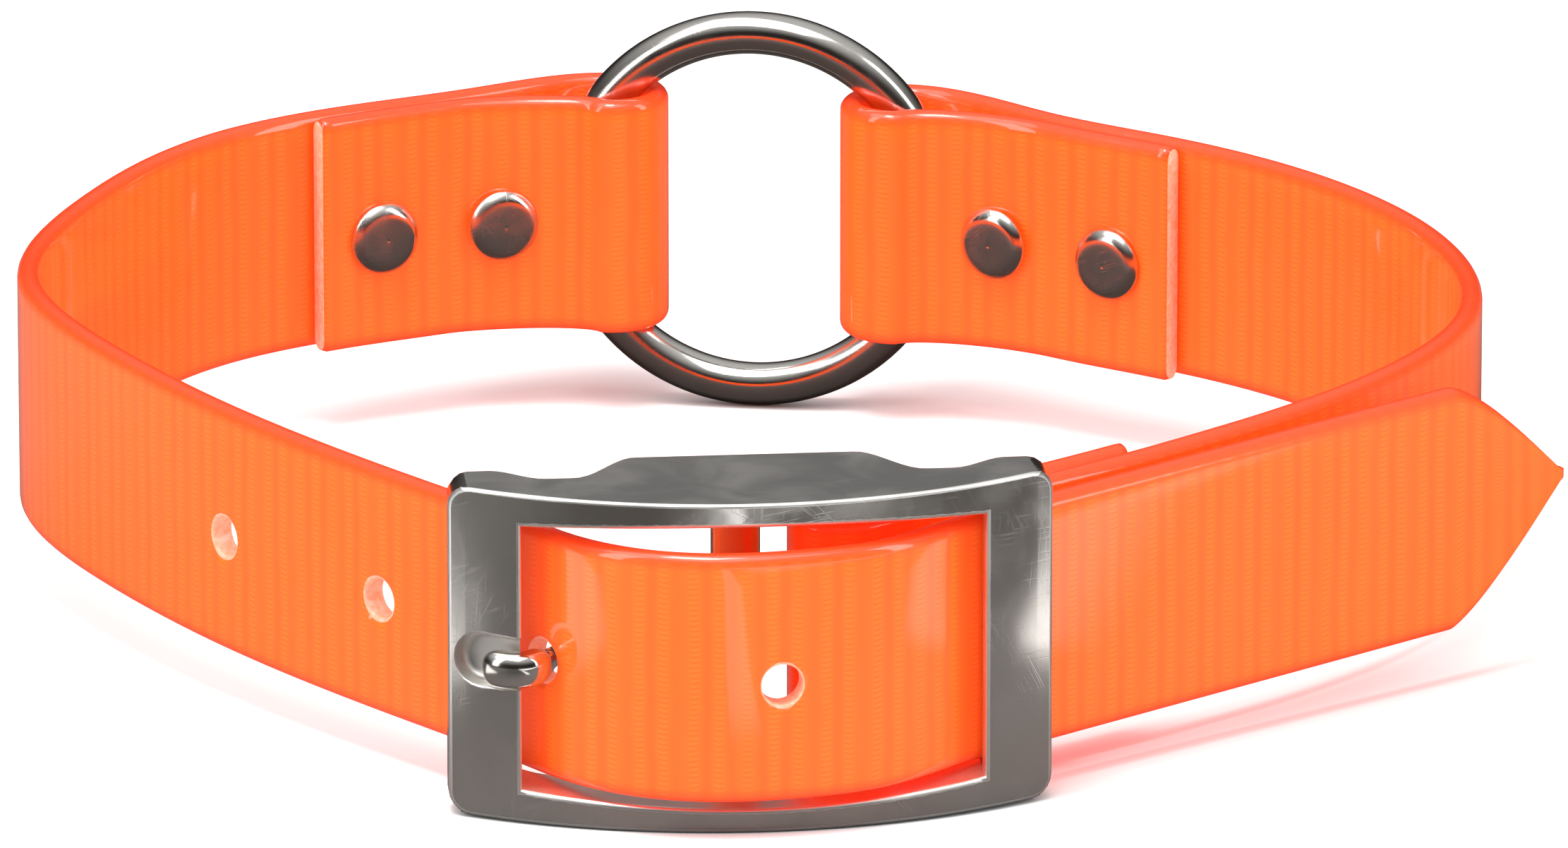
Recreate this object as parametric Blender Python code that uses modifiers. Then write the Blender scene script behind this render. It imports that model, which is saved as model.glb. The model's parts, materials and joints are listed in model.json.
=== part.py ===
"""Dog collar of coated webbing: two straps joined by a centre ring behind and by a buckle in front.

The straps are laid out in plan first, with the middle of their height at z = 0, the ring at +Y and the
buckle at -Y. The whole collar is then set down on the ring's lowest point and the buckle's lower edge.
"""

import math

import bmesh
import bpy
import numpy as np
from mathutils import Matrix, Vector

MM = 0.001

# Loop in plan, between the middle of the ring and the front of the buckle
LOOP_WIDTH = 149.4 * MM
LOOP_DEPTH = 154.0 * MM

# Webbing
STRAP_WIDTH = 26.1 * MM
STRAP_THICKNESS = 2.5 * MM
HOLE_DIAMETER = 4.2 * MM
HOLE_PITCH = 25.4 * MM
HOLE_DROP = 0.6 * MM
HOLES_BEFORE_TONGUE = 2
HOLES_AFTER_TONGUE = 1
TAIL_LENGTH = 77.5 * MM
TAIL_ANGLE = math.radians(34.5)
TIP_LENGTH = 15.0 * MM
TIP_RISE = 1.0 * MM
TIP_CURVE = 1.4
FLAP_LENGTH = 37.0 * MM
FLAP_TAPER = 22.0 * MM
BAR_FLAP_LENGTH = 35.4 * MM
BAR_FLAP_TAPER = 9.0 * MM
SHORT_STRAP_ANGLE = math.radians(30.0)
BAR_RUN = 31.0 * MM
BAR_RUN_RISE = 0.9 * MM

# Ring
RING_WIRE = 4.6 * MM
RING_INSIDE = 34.6 * MM
RING_YAW = math.radians(-7.5)
RING_LEAN = math.radians(1.5)
RING_FOLD_SLACK = 1.35 * MM
RING_SPREAD = math.radians(4.0)

# Buckle
BUCKLE_WIDTH = 60.8 * MM
BUCKLE_HEIGHT = 34.6 * MM
BUCKLE_FACE_RADIUS = 56.0 * MM
BUCKLE_PLATE = 3.4 * MM
BUCKLE_SIDE_BAR = 7.1 * MM
BUCKLE_YAW = math.radians(5.0)
BUCKLE_ACROSS = 0.55 * MM
BUCKLE_LIFT = 0.5 * MM
BUCKLE_EDGE = 0.8 * MM
BUCKLE_CORNER = 2.2 * MM
WINDOW_PLAY = 0.8 * MM
WINDOW_BOW = 0.95 * MM
BUMP_WIDTH = 22.4 * MM
BUMP_REACH = 7.4 * MM
BUMP_RAMP = 6.5 * MM
SCOOP_REACH = 1.4 * MM
LOBE_REACH = 4.4 * MM
LOBE_WIDTH = 4.5 * MM
LOBE_RAMP = 5.5 * MM
BAR_DIAMETER = 5.0 * MM
TONGUE_BAR_OFFSET = -1.2 * MM

# Tongue
TONGUE_WIRE = 2.0 * MM
TONGUE_TIP_WIDTH = 3.7 * MM
TONGUE_REACH = 4.2 * MM
TONGUE_DIP = 0.5 * MM
TONGUE_SWELL = 3.5 * MM
TONGUE_BLUNT = 0.5 * MM
TONGUE_STEP = 1.5 * MM
TONGUE_HOLE_OFFSET = 3.3 * MM
EYE_FIRST = math.radians(185.0)
EYE_LAST = math.radians(-90.0)
RECESS_WIDTH = 5.5 * MM
RECESS_LENGTH = 7.0 * MM
RECESS_DEPTH = 2.2 * MM
RECESS_LIFT = 0.5 * MM

# Rivets
RIVET_CAP = 7.8 * MM
RIVET_CAP_HEIGHT = 1.0 * MM
RIVET_POST = 3.0 * MM
RIVET_FIRST = 15.7 * MM
RIVET_PITCH = 13.8 * MM
RIVET_DROP = 0.9 * MM
BAR_RIVET_FIRST = 9.0 * MM
BAR_RIVET_PITCH = 11.0 * MM

# Fits
CLEARANCE = 0.3 * MM
LAYER_GAP = 0.35 * MM
EYE_GAP = 0.4 * MM

# Facets
PATH_STEP = 6.0 * MM
PATH_TURN = math.radians(13.0)
FINE_STEP = 0.25 * MM
ROUND_SIDES = 20
WIRE_SIDES = 12
RING_SIDES = 48
FACE_STEPS = 24
WALL_STEPS = 48
WINDOW_STEPS = 16
CORNER_STEPS = 4

ORANGE = (1.0, 0.205, 0.032, 1.0)
NICKEL = (0.60, 0.58, 0.55, 1.0)

# Plan of each strap from the ring to the buckle:
# across as a share of half LOOP_WIDTH, along as a share of half LOOP_DEPTH
LEFT_SIDE = (
    (-0.397, 1.023),
    (-0.605, 0.925),
    (-0.753, 0.824),
    (-0.937, 0.530),
    (-1.010, 0.190),
    (-0.889, -0.133),
    (-0.709, -0.4075),
    (-0.487, -0.670),
)
RIGHT_SIDE = (
    (0.419, 0.9055),
    (0.592, 0.792),
    (0.793, 0.622),
    (0.957, 0.3505),
    (0.987, 0.0246),
    (0.844, -0.269),
    (0.621, -0.503),
)
# The long strap across the buckle's window: across as a share of half the window's width,
# behind the side bars' back at the window's edge as a share of the bump's depth
WINDOW_PATH = (
    (-0.957, 0.213),
    (-0.749, -0.177),
    (-0.433, -0.484),
    (-0.190, -0.567),
    (0.200, -0.537),
    (0.554, -0.378),
)
# The tongue's arm: share of the way from its bar to the strap's hole,
# behind that line as a share of TONGUE_WIRE
TONGUE_ARM = (
    (0.44, 0.75),
    (0.70, 0.75),
)
# A rivet's cap: from the middle as a share of its radius, up as a share of its height
CAP_SECTION = (
    (0.00, 1.00),
    (0.72, 1.00),
    (0.90, 0.80),
    (1.00, 0.35),
    (1.00, 0.00),
)

layer_pitch = STRAP_THICKNESS + LAYER_GAP
half_strap = STRAP_THICKNESS / 2
ring_radius = (RING_INSIDE + RING_WIRE) / 2
ring_fold_radius = RING_WIRE / 2 + RING_FOLD_SLACK + half_strap
half_window = BUCKLE_WIDTH / 2 - BUCKLE_SIDE_BAR
window_height = STRAP_WIDTH + 2 * WINDOW_PLAY
face_fall = BUCKLE_FACE_RADIUS - math.sqrt(BUCKLE_FACE_RADIUS**2 - (BUCKLE_WIDTH / 2) ** 2)
bump_depth = face_fall + BUMP_REACH
scoop_depth = face_fall + SCOOP_REACH
lobe_depth = face_fall + LOBE_REACH
bar_depth = bump_depth - BUCKLE_EDGE - BAR_DIAMETER / 2
bar_fold_radius = BAR_DIAMETER / 2 + CLEARANCE + half_strap
eye_radius = BAR_DIAMETER / 2 + CLEARANCE + TONGUE_WIRE / 2
strap_bar_offset = TONGUE_BAR_OFFSET + eye_radius + TONGUE_WIRE / 2 + EYE_GAP + bar_fold_radius + half_strap


def direction(angle):
    return np.array((math.cos(angle), math.sin(angle)))


def left_of(vector):
    return np.array((-vector[1], vector[0]))


def ring_point(across, back):
    """A place in plan, measured from the ring's middle along its own plane and behind it."""
    along = direction(RING_YAW)
    return np.array((0.0, LOOP_DEPTH / 2)) + across * along + back * left_of(along)


def buckle_point(across, back):
    """A place in plan, measured from the middle of the buckle's face."""
    along = direction(BUCKLE_YAW)
    return np.array((BUCKLE_ACROSS, -LOOP_DEPTH / 2)) + across * along + back * left_of(along)


def face_depth(across):
    """How far the curved face has fallen back from its middle."""
    return BUCKLE_FACE_RADIUS - math.sqrt(BUCKLE_FACE_RADIUS**2 - across**2)


def smoothstep(share):
    share = min(max(share, 0.0), 1.0)
    return share * share * (3.0 - 2.0 * share)


def spline(knots, start, end):
    """Fine points of a cubic through the knots, leaving along start and arriving along end."""
    knots = np.array(knots)
    gaps = np.linalg.norm(np.diff(knots, axis=0), axis=1)
    count = len(knots)
    matrix = np.zeros((count, count))
    right = np.zeros((count, 2))
    matrix[0, 0] = matrix[-1, -1] = 1.0
    right[0], right[-1] = start, end
    for i in range(1, count - 1):
        before, after = gaps[i - 1], gaps[i]
        matrix[i, i - 1 : i + 2] = after, 2.0 * (before + after), before
        right[i] = 3.0 * (
            after * (knots[i] - knots[i - 1]) / before + before * (knots[i + 1] - knots[i]) / after
        )
    slopes = np.linalg.solve(matrix, right)
    points = []
    for i, gap in enumerate(gaps):
        for share in np.arange(0.0, 1.0, FINE_STEP / gap):
            far = 1.0 - share
            points.append(
                (1.0 + 2.0 * share) * far**2 * knots[i]
                + share * far**2 * gap * slopes[i]
                + share**2 * (3.0 - 2.0 * share) * knots[i + 1]
                - share**2 * far * gap * slopes[i + 1]
            )
    return np.array(points + [knots[-1]])


def arc(centre, radius, first, last):
    """Fine points of an arc in plan, from one angle to another."""
    count = max(8, math.ceil(abs(last - first) * radius / FINE_STEP))
    return np.array([centre + radius * direction(angle) for angle in np.linspace(first, last, count + 1)])


def lengths_along(points):
    return np.concatenate([[0.0], np.cumsum(np.linalg.norm(np.diff(points, axis=0), axis=1))])


def place_on(points, length):
    """The point and the unit direction at a length along a path."""
    along = lengths_along(points)
    point = np.array([np.interp(length, along, points[:, i]) for i in range(2)])
    ahead = np.array([np.interp(length + FINE_STEP, along, points[:, i]) for i in range(2)])
    behind = np.array([np.interp(length - FINE_STEP, along, points[:, i]) for i in range(2)])
    return point, (ahead - behind) / np.linalg.norm(ahead - behind)


def layers_apart(length, fold_radius, taper):
    """How far a folded flap's middle lies from the strap's, at a length from the fold."""
    return layer_pitch + (2.0 * fold_radius - layer_pitch) * smoothstep(1.0 - length / taper)


def flap_beside(points, side, flap_length, fold_radius, taper):
    """The flap that lies beside the start of a path, from its free end back to the fold."""
    flap = []
    for length in np.arange(flap_length, 0.0, -FINE_STEP):
        point, along = place_on(points, length)
        flap.append(point + side * left_of(along) * layers_apart(length, fold_radius, taper))
    return np.array(flap)


def joined(*parts):
    """Path parts end to end, without the points that repeat."""
    points = np.concatenate(parts)
    keep = np.concatenate([[True], np.linalg.norm(np.diff(points, axis=0), axis=1) > FINE_STEP / 10])
    return points[keep]


def thinned(points):
    """The fewest of a path's fine points that keep its turns and steps within PATH_TURN and PATH_STEP."""
    steps = np.diff(points, axis=0)
    headings = np.unwrap(np.arctan2(steps[:, 1], steps[:, 0]))
    along = lengths_along(points)
    kept = [0]
    for i in range(1, len(points) - 1):
        turned = abs(headings[i] - headings[kept[-1]]) > PATH_TURN
        if turned or along[i] - along[kept[-1]] > PATH_STEP:
            kept.append(i)
    return points[kept + [len(points) - 1]]


def fold_centre(side):
    """The middle of the ring fold on one side, where the wire just clears the strap's rounded edges."""
    rounded = half_strap * (1.0 - math.sqrt(0.5))
    crossing = math.sqrt((RING_INSIDE / 2) ** 2 - (STRAP_WIDTH / 2 - rounded) ** 2) + rounded
    return side * (crossing - CLEARANCE + ring_fold_radius - half_strap)


def fold_end(side):
    """Where the outer layer leaves the ring fold, and its heading there, spread back to clear the ring."""
    spread = side * RING_SPREAD
    away = direction(RING_YAW + spread)
    return ring_point(fold_centre(side), 0.0) + ring_fold_radius * left_of(away), side * away


def ring_fold(side, outer):
    """The turn round the ring's wire, from the flap to the outer layer, and the flap before it."""
    first = RING_YAW - math.pi / 2
    turned = side * (RING_SPREAD - math.pi)
    turn = arc(ring_point(fold_centre(side), 0.0), ring_fold_radius, first, first + turned)
    flap = flap_beside(outer, -side, FLAP_LENGTH, ring_fold_radius, FLAP_TAPER)
    return flap, turn


def side_knots(table):
    return [(across * LOOP_WIDTH / 2, along * LOOP_DEPTH / 2) for across, along in table]


def plan_long_strap():
    """The path of the long strap, and the lengths along it of the ring fold and of the tongue's hole."""
    start, away = fold_end(-1)
    bar_back = face_depth(half_window) + BUCKLE_PLATE
    window = [buckle_point(u * half_window, bar_back + w * bump_depth) for u, w in WINDOW_PATH]
    lean_out = half_strap + CLEARANCE
    leave = buckle_point(half_window, bar_back + lean_out / math.cos(TAIL_ANGLE))
    heading = direction(BUCKLE_YAW + TAIL_ANGLE)
    outer = spline([start, *side_knots(LEFT_SIDE), *window, leave], away, heading)
    flap, turn = ring_fold(-1, outer)
    tail = np.array([leave + heading * FINE_STEP, leave + heading * TAIL_LENGTH])
    path = joined(flap, turn, outer, tail)
    fold_length = lengths_along(joined(flap, turn))[-1]
    hole = buckle_point(TONGUE_HOLE_OFFSET - half_window, 0.0)
    across = (path - hole) @ direction(BUCKLE_YAW)
    behind = (path - hole) @ left_of(direction(BUCKLE_YAW))
    near = np.where(behind < bump_depth, np.abs(across), np.inf)
    return path, fold_length, lengths_along(path)[int(np.argmin(near))]


def plan_short_strap():
    """The path of the short strap, and the lengths along it of its two folds."""
    start, away = fold_end(1)
    bar = buckle_point(strap_bar_offset, bar_depth)
    heading = -direction(BUCKLE_YAW + SHORT_STRAP_ANGLE)
    arrive = bar + bar_fold_radius * left_of(heading)
    run_in = arrive - BAR_RUN * heading - BAR_RUN_RISE * left_of(heading)
    outer = spline([start, *side_knots(RIGHT_SIDE), run_in, arrive], away, heading)
    flap, turn = ring_fold(1, outer)
    first = BUCKLE_YAW + SHORT_STRAP_ANGLE - math.pi / 2
    bar_turn = arc(bar, bar_fold_radius, first, first - math.pi)
    bar_flap = flap_beside(outer[::-1], 1, BAR_FLAP_LENGTH, bar_fold_radius, BAR_FLAP_TAPER)[::-1]
    path = joined(flap, turn, outer, bar_turn, bar_flap)
    ring_fold_length = lengths_along(joined(flap, turn))[-1]
    bar_fold_length = lengths_along(joined(flap, turn, outer))[-1]
    return path, ring_fold_length, bar_fold_length


def link(obj, collection, material=None):
    for old in list(obj.users_collection):
        old.objects.unlink(obj)
    collection.objects.link(obj)
    if material:
        obj.data.materials.clear()
        obj.data.materials.append(material)
    return obj


def as_cutter(obj):
    link(obj, bpy.data.collections["cutters"])
    obj.hide_render = True
    obj.display_type = "WIRE"
    return obj


def boolean(obj, cutter, operation="DIFFERENCE"):
    modifier = obj.modifiers.new(cutter.name, "BOOLEAN")
    modifier.operation = operation
    modifier.object = cutter
    return modifier


def bevel(obj, width, segments, angle):
    modifier = obj.modifiers.new("rounded edges", "BEVEL")
    modifier.width = width
    modifier.segments = segments
    modifier.limit_method = "ANGLE"
    modifier.angle_limit = angle
    return modifier


def mesh_from(obj):
    """The object's evaluated shape as a plain mesh object of the same name, with its caps welded."""
    graph = bpy.context.evaluated_depsgraph_get()
    mesh = bpy.data.meshes.new_from_object(obj.evaluated_get(graph))
    plain = bpy.data.objects.new(obj.name + " mesh", mesh)
    plain.matrix_world = obj.matrix_world.copy()
    shape = bmesh.new()
    shape.from_mesh(mesh)
    bmesh.ops.remove_doubles(shape, verts=shape.verts, dist=0.01 * MM)
    bmesh.ops.recalc_face_normals(shape, faces=shape.faces)
    shape.to_mesh(mesh)
    shape.free()
    name = obj.name
    bpy.data.objects.remove(obj)
    plain.name = name
    bpy.context.scene.collection.objects.link(plain)
    return plain


def outline_solid(name, outline, thickness):
    """A flat outline in its own XY plane with this thickness, as a mesh."""
    curve = bpy.data.curves.new(name, "CURVE")
    curve.dimensions = "2D"
    curve.fill_mode = "BOTH"
    curve.extrude = thickness / 2
    piece = curve.splines.new("POLY")
    piece.points.add(len(outline) - 1)
    for point, (x, y) in zip(piece.points, outline):
        point.co = (x, y, 0.0, 1.0)
    piece.use_cyclic_u = True
    obj = bpy.data.objects.new(name, curve)
    bpy.context.scene.collection.objects.link(obj)
    return mesh_from(obj)


def wire(name, points, radii, sides, height=0.0):
    """A round wire through points of the plan at one height, with a radius at each."""
    curve = bpy.data.curves.new(name, "CURVE")
    curve.dimensions = "3D"
    curve.bevel_depth = 1.0
    curve.bevel_resolution = sides // 4 - 1
    curve.use_fill_caps = True
    piece = curve.splines.new("POLY")
    piece.points.add(len(points) - 1)
    for point, (x, y), radius in zip(piece.points, points, radii):
        point.co = (x, y, height, 1.0)
        point.radius = radius
    obj = bpy.data.objects.new(name, curve)
    bpy.context.scene.collection.objects.link(obj)
    return mesh_from(obj)


def strap_section():
    """The webbing's cross section: flat faces and fully rounded edges."""
    curve = bpy.data.curves.new("strap section", "CURVE")
    curve.dimensions = "2D"
    centre = STRAP_WIDTH / 2 - half_strap
    angles = [math.radians(step) for step in (0, 45, 90, 135, 180)]
    outline = [(half_strap * math.cos(a), centre + half_strap * math.sin(a)) for a in angles]
    outline += [(-x, -y) for x, y in outline]
    piece = curve.splines.new("POLY")
    piece.points.add(len(outline) - 1)
    for point, (x, y) in zip(piece.points, outline):
        point.co = (x, y, 0.0, 1.0)
    piece.use_cyclic_u = True
    section = bpy.data.objects.new("strap section", curve)
    return as_cutter(section)


def webbing(name, path, section):
    """A strap on edge, swept along its path in plan."""
    curve = bpy.data.curves.new(name, "CURVE")
    curve.dimensions = "3D"
    curve.twist_mode = "Z_UP"
    curve.bevel_mode = "OBJECT"
    curve.bevel_object = section
    curve.use_fill_caps = True
    points = thinned(path)
    piece = curve.splines.new("POLY")
    piece.points.add(len(points) - 1)
    for point, (x, y) in zip(piece.points, points):
        point.co = (x, y, 0.0, 1.0)
    obj = bpy.data.objects.new(name, curve)
    bpy.context.scene.collection.objects.link(obj)
    return mesh_from(obj)


def across_frame(point, along, height=0.0):
    """Local Z looks through the strap, local X runs along it and local Y is up."""
    x_axis = Vector((along[0], along[1], 0.0)).normalized()
    y_axis = Vector((0.0, 0.0, 1.0))
    frame = Matrix((x_axis, y_axis, x_axis.cross(y_axis))).transposed().to_4x4()
    frame.translation = (point[0], point[1], height)
    return frame


def punch(strap, name, path, length, diameter):
    point, along = place_on(path, length)
    bpy.ops.mesh.primitive_cylinder_add(
        vertices=ROUND_SIDES, radius=diameter / 2, depth=4 * STRAP_THICKNESS
    )
    cutter = as_cutter(bpy.context.object)
    cutter.name = name
    cutter.matrix_world = across_frame(point, along, -HOLE_DROP)
    boolean(strap, cutter)


def set_rivets(parts, names, strap, path, side, fold, away, first, pitch, fold_radius, taper):
    """Rivets through a strap and its flap. Where away is 1, the path leads away from the fold."""
    for i, name in enumerate(names):
        from_fold = first + i * pitch
        apart = layers_apart(from_fold, fold_radius, taper)
        closing = (layers_apart(from_fold - FINE_STEP, fold_radius, taper) - apart) / FINE_STEP
        point, along = place_on(path, fold + away * from_fold)
        inward = side * left_of(along)
        half_way = along - away * inward * closing / 2
        frame = across_frame(point + inward * apart / 2, half_way, -RIVET_DROP)
        stack = apart + STRAP_THICKNESS
        seat = rivet_profile(stack, CLEARANCE, RIVET_CAP_HEIGHT + STRAP_THICKNESS)
        cutter = as_cutter(turned(name + " hole", seat))
        cutter.matrix_world = frame
        boolean(strap, cutter)
        rivet = turned(name, rivet_profile(stack, 0.0, RIVET_CAP_HEIGHT))
        rivet.matrix_world = frame
        link(rivet, parts, material_named("nickel"))


def build_straps(parts, material):
    """Both straps with their holes and rivets; returns the middle of the tongue's hole in plan."""
    section = strap_section()
    long_path, long_fold, tongue_hole = plan_long_strap()
    short_path, short_fold, bar_fold = plan_short_strap()
    long_strap = link(webbing("long_strap", long_path, section), parts, material)
    short_strap = link(webbing("short_strap", short_path, section), parts, material)
    for i in range(-HOLES_BEFORE_TONGUE, HOLES_AFTER_TONGUE + 1):
        place = tongue_hole + i * HOLE_PITCH
        punch(long_strap, f"hole {i + HOLES_BEFORE_TONGUE + 1}", long_path, place, HOLE_DIAMETER)
    boolean(long_strap, tip_cutter(long_path))
    at_ring = (RIVET_FIRST, RIVET_PITCH, ring_fold_radius, FLAP_TAPER)
    at_bar = (BAR_RIVET_FIRST, BAR_RIVET_PITCH, bar_fold_radius, BAR_FLAP_TAPER)
    left = ("ring_rivet_left_inner", "ring_rivet_left_outer")
    right = ("ring_rivet_right_inner", "ring_rivet_right_outer")
    buckle = ("buckle_rivet_near", "buckle_rivet_far")
    set_rivets(parts, left, long_strap, long_path, 1, long_fold, 1, *at_ring)
    set_rivets(parts, right, short_strap, short_path, -1, short_fold, 1, *at_ring)
    set_rivets(parts, buckle, short_strap, short_path, -1, bar_fold, -1, *at_bar)
    for strap in (long_strap, short_strap):
        strap.data.shade_smooth()
        strap.data.set_sharp_from_angle(angle=math.radians(40))
    return place_on(long_path, tongue_hole)[0]


def tip_cutter(path):
    """What is cut away to leave the tail's point."""
    point, along = place_on(path, lengths_along(path)[-1] - TIP_LENGTH)
    half = STRAP_WIDTH / 2
    run_in = []
    for share in np.linspace(0.0, 1.0, 11)[:-1]:
        run_in.append((share * TIP_LENGTH, 1.0 - share**TIP_CURVE))
    outline = [(-CLEARANCE, half + CLEARANCE)]
    outline += [(x, TIP_RISE + share * (half - TIP_RISE)) for x, share in run_in]
    outline.append((TIP_LENGTH, TIP_RISE))
    outline += [(x, TIP_RISE - share * (half + TIP_RISE)) for x, share in reversed(run_in)]
    outline += [(-CLEARANCE, -half - CLEARANCE), (-CLEARANCE, -STRAP_WIDTH)]
    reach = TIP_LENGTH + half
    outline += [(reach, -STRAP_WIDTH), (reach, STRAP_WIDTH), (-CLEARANCE, STRAP_WIDTH)]
    cutter = outline_solid("tip cutter", outline, 4 * STRAP_THICKNESS)
    cutter.matrix_world = across_frame(point, along)
    return as_cutter(cutter)


def rivet_profile(stack, spare, height):
    """Half outline of a rivet through a stack of layers: a post between two low caps, all wider by spare."""
    base = stack / 2 + CLEARANCE - spare
    radius = RIVET_CAP / 2 + spare
    profile = [(across * radius, base + up * height) for across, up in CAP_SECTION]
    profile.append((RIVET_POST / 2 + spare, base))
    return profile + [(x, -z) for x, z in reversed(profile)]


def turned(name, profile):
    """A solid turned about local Z from an outline that runs down its outer side."""
    mesh = bpy.data.meshes.new(name)
    edges = [(i, i + 1) for i in range(len(profile) - 1)]
    mesh.from_pydata([(x, 0.0, z) for x, z in profile], edges, [])
    obj = bpy.data.objects.new(name, mesh)
    bpy.context.scene.collection.objects.link(obj)
    screw = obj.modifiers.new("turned", "SCREW")
    screw.steps = screw.render_steps = ROUND_SIDES
    screw.use_merge_vertices = True
    screw.merge_threshold = 0.01 * MM
    return obj


def build_ring(parts, material):
    bpy.ops.mesh.primitive_torus_add(
        major_radius=ring_radius,
        minor_radius=RING_WIRE / 2,
        major_segments=RING_SIDES,
        minor_segments=WIRE_SIDES,
    )
    ring = link(bpy.context.object, parts, material)
    ring.name = "center_ring"
    ring.data.shade_smooth()
    x, y = ring_point(0.0, 0.0)
    lean = Matrix.Rotation(math.pi / 2 - RING_LEAN, 4, "X")
    ring.matrix_world = Matrix.Translation((x, y, 0.0)) @ Matrix.Rotation(RING_YAW, 4, "Z") @ lean
    return ring


def wall_back(across):
    """How far back the buckle's two walls reach: a middle bump, scoops beside it and a lobe at each end."""
    from_middle = abs(across)
    bump = smoothstep(1.0 - (from_middle - BUMP_WIDTH / 2) / BUMP_RAMP)
    lobe_start = BUCKLE_WIDTH / 2 - LOBE_WIDTH - LOBE_RAMP
    lobe = smoothstep((from_middle - lobe_start) / LOBE_RAMP)
    return scoop_depth + (bump_depth - scoop_depth) * bump + (lobe_depth - scoop_depth) * lobe


def buckle_outline():
    """The buckle in its own plan: curved face in front, the walls' outline behind."""
    end = BUCKLE_WIDTH / 2
    corner = LOBE_WIDTH / 2
    front = [(x, face_depth(x)) for x in np.linspace(-end, end, FACE_STEPS + 1)]
    middle_run = end - corner
    back = [(x, wall_back(x)) for x in np.linspace(middle_run, -middle_run, WALL_STEPS + 1)]
    centre = np.array((middle_run, lobe_depth - corner))
    turn = np.linspace(0.0, math.pi / 2, CORNER_STEPS)[:-1]
    right_corner = [tuple(centre + corner * direction(angle)) for angle in turn]
    left_corner = [(-x, y) for x, y in reversed(right_corner)]
    return front + right_corner + back + left_corner


def window_outline():
    """The window as seen from the front, its top and bottom edges bowed apart."""
    top = []
    for share in np.linspace(1.0, -1.0, WINDOW_STEPS + 1):
        top.append((share * half_window, window_height / 2 + WINDOW_BOW * (1.0 - share**2)))
    return top + [(-x, -z) for x, z in top]


def front_outline():
    """The buckle as seen from the front: a rectangle with rounded corners."""
    across = BUCKLE_WIDTH / 2 - BUCKLE_CORNER
    up = BUCKLE_HEIGHT / 2 - BUCKLE_CORNER
    outline = []
    for quarter in range(4):
        first = quarter * math.pi / 2
        middle = first + math.pi / 4
        centre = np.array((math.copysign(across, math.cos(middle)), math.copysign(up, math.sin(middle))))
        for angle in np.linspace(first, first + math.pi / 2, CORNER_STEPS + 1):
            outline.append(tuple(centre + BUCKLE_CORNER * direction(angle)))
    return outline


def recess_outline():
    """A slot with one round end, open towards the window."""
    half = RECESS_WIDTH / 2
    straight = RECESS_LENGTH - half
    turn = []
    for angle in np.linspace(0.0, math.pi, 2 * CORNER_STEPS + 1):
        turn.append((-straight - half * math.sin(angle), half * math.cos(angle)))
    return [(2 * half, half), *turn, (2 * half, -half)]


def facing_front(name, outline, depth):
    """A solid whose outline is seen from the front."""
    solid = outline_solid(name, outline, depth)
    solid.matrix_world = Matrix.Rotation(math.pi / 2, 4, "X")
    return as_cutter(solid)


def bar_slope():
    """The slope of the curved face at the middle of a side bar."""
    return math.asin((half_window + BUCKLE_SIDE_BAR / 2) / BUCKLE_FACE_RADIUS)


def recess_cutter():
    """The tongue's seat in the left side bar, square to the sloping face and open towards the window."""
    slot = outline_solid("tongue recess", recess_outline(), 2 * RECESS_DEPTH)
    bar_middle = half_window + BUCKLE_SIDE_BAR / 2
    along = direction(-bar_slope())
    tangent = Vector((along[0], along[1], 0.0))
    up = Vector((0.0, 0.0, 1.0))
    placed = Matrix((tangent, up, tangent.cross(up))).transposed().to_4x4()
    face = Vector((-bar_middle, face_depth(bar_middle), RECESS_LIFT - BUCKLE_LIFT - HOLE_DROP))
    placed.translation = face + tangent * BUCKLE_SIDE_BAR / 2
    slot.matrix_world = placed
    return as_cutter(slot)


def build_buckle(parts, material):
    """The cast frame: a block with the window and the strap's passage cut out, and two bars put in."""
    frame = outline_solid("buckle_frame", buckle_outline(), BUCKLE_HEIGHT)
    link(frame, parts, material)
    depth = 4 * bump_depth
    reach = BUCKLE_WIDTH / 2 + BUCKLE_PLATE
    front = [(x, face_depth(x) + BUCKLE_PLATE) for x in np.linspace(-reach, reach, FACE_STEPS + 1)]
    passage = outline_solid("passage", [*front, (reach, depth), (-reach, depth)], window_height)
    corners = facing_front("corners", front_outline(), depth)
    window = facing_front("window", window_outline(), depth)
    helpers = [corners, window, as_cutter(passage), recess_cutter()]
    boolean(frame, corners, "INTERSECT")
    bevel(frame, BUCKLE_EDGE, 3, math.radians(50))
    for cutter in helpers[1:]:
        boolean(frame, cutter)
    for name, offset in (("tongue bar", TONGUE_BAR_OFFSET), ("strap bar", strap_bar_offset)):
        bpy.ops.mesh.primitive_cylinder_add(
            vertices=ROUND_SIDES,
            radius=BAR_DIAMETER / 2,
            depth=BUCKLE_HEIGHT - 2 * BUCKLE_EDGE,
            location=(offset, bar_depth, 0.0),
        )
        bar = as_cutter(bpy.context.object)
        bar.name = name
        boolean(frame, bar, "UNION")
        helpers.append(bar)
    for helper in helpers:
        helper.parent = frame
    frame.data.shade_smooth()
    frame.data.set_sharp_from_angle(angle=math.radians(30))
    x, y = buckle_point(0.0, 0.0)
    frame.matrix_world = Matrix.Translation((x, y, BUCKLE_LIFT)) @ Matrix.Rotation(BUCKLE_YAW, 4, "Z")
    return frame


def tongue_radii(total, hole_at):
    """The tongue's radius at each length: wire to the strap's hole, then a thicker tip with a round end."""
    thin = TONGUE_WIRE / 2
    thick = TONGUE_TIP_WIDTH / 2
    radii = []
    for length in total:
        radius = thin + (thick - thin) * smoothstep((length - hole_at) / TONGUE_SWELL)
        left = min((total[-1] - length) / thick, 1.0)
        radii.append(max(radius * math.sqrt(1.0 - (1.0 - left) ** 2), TONGUE_BLUNT))
    return radii


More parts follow.
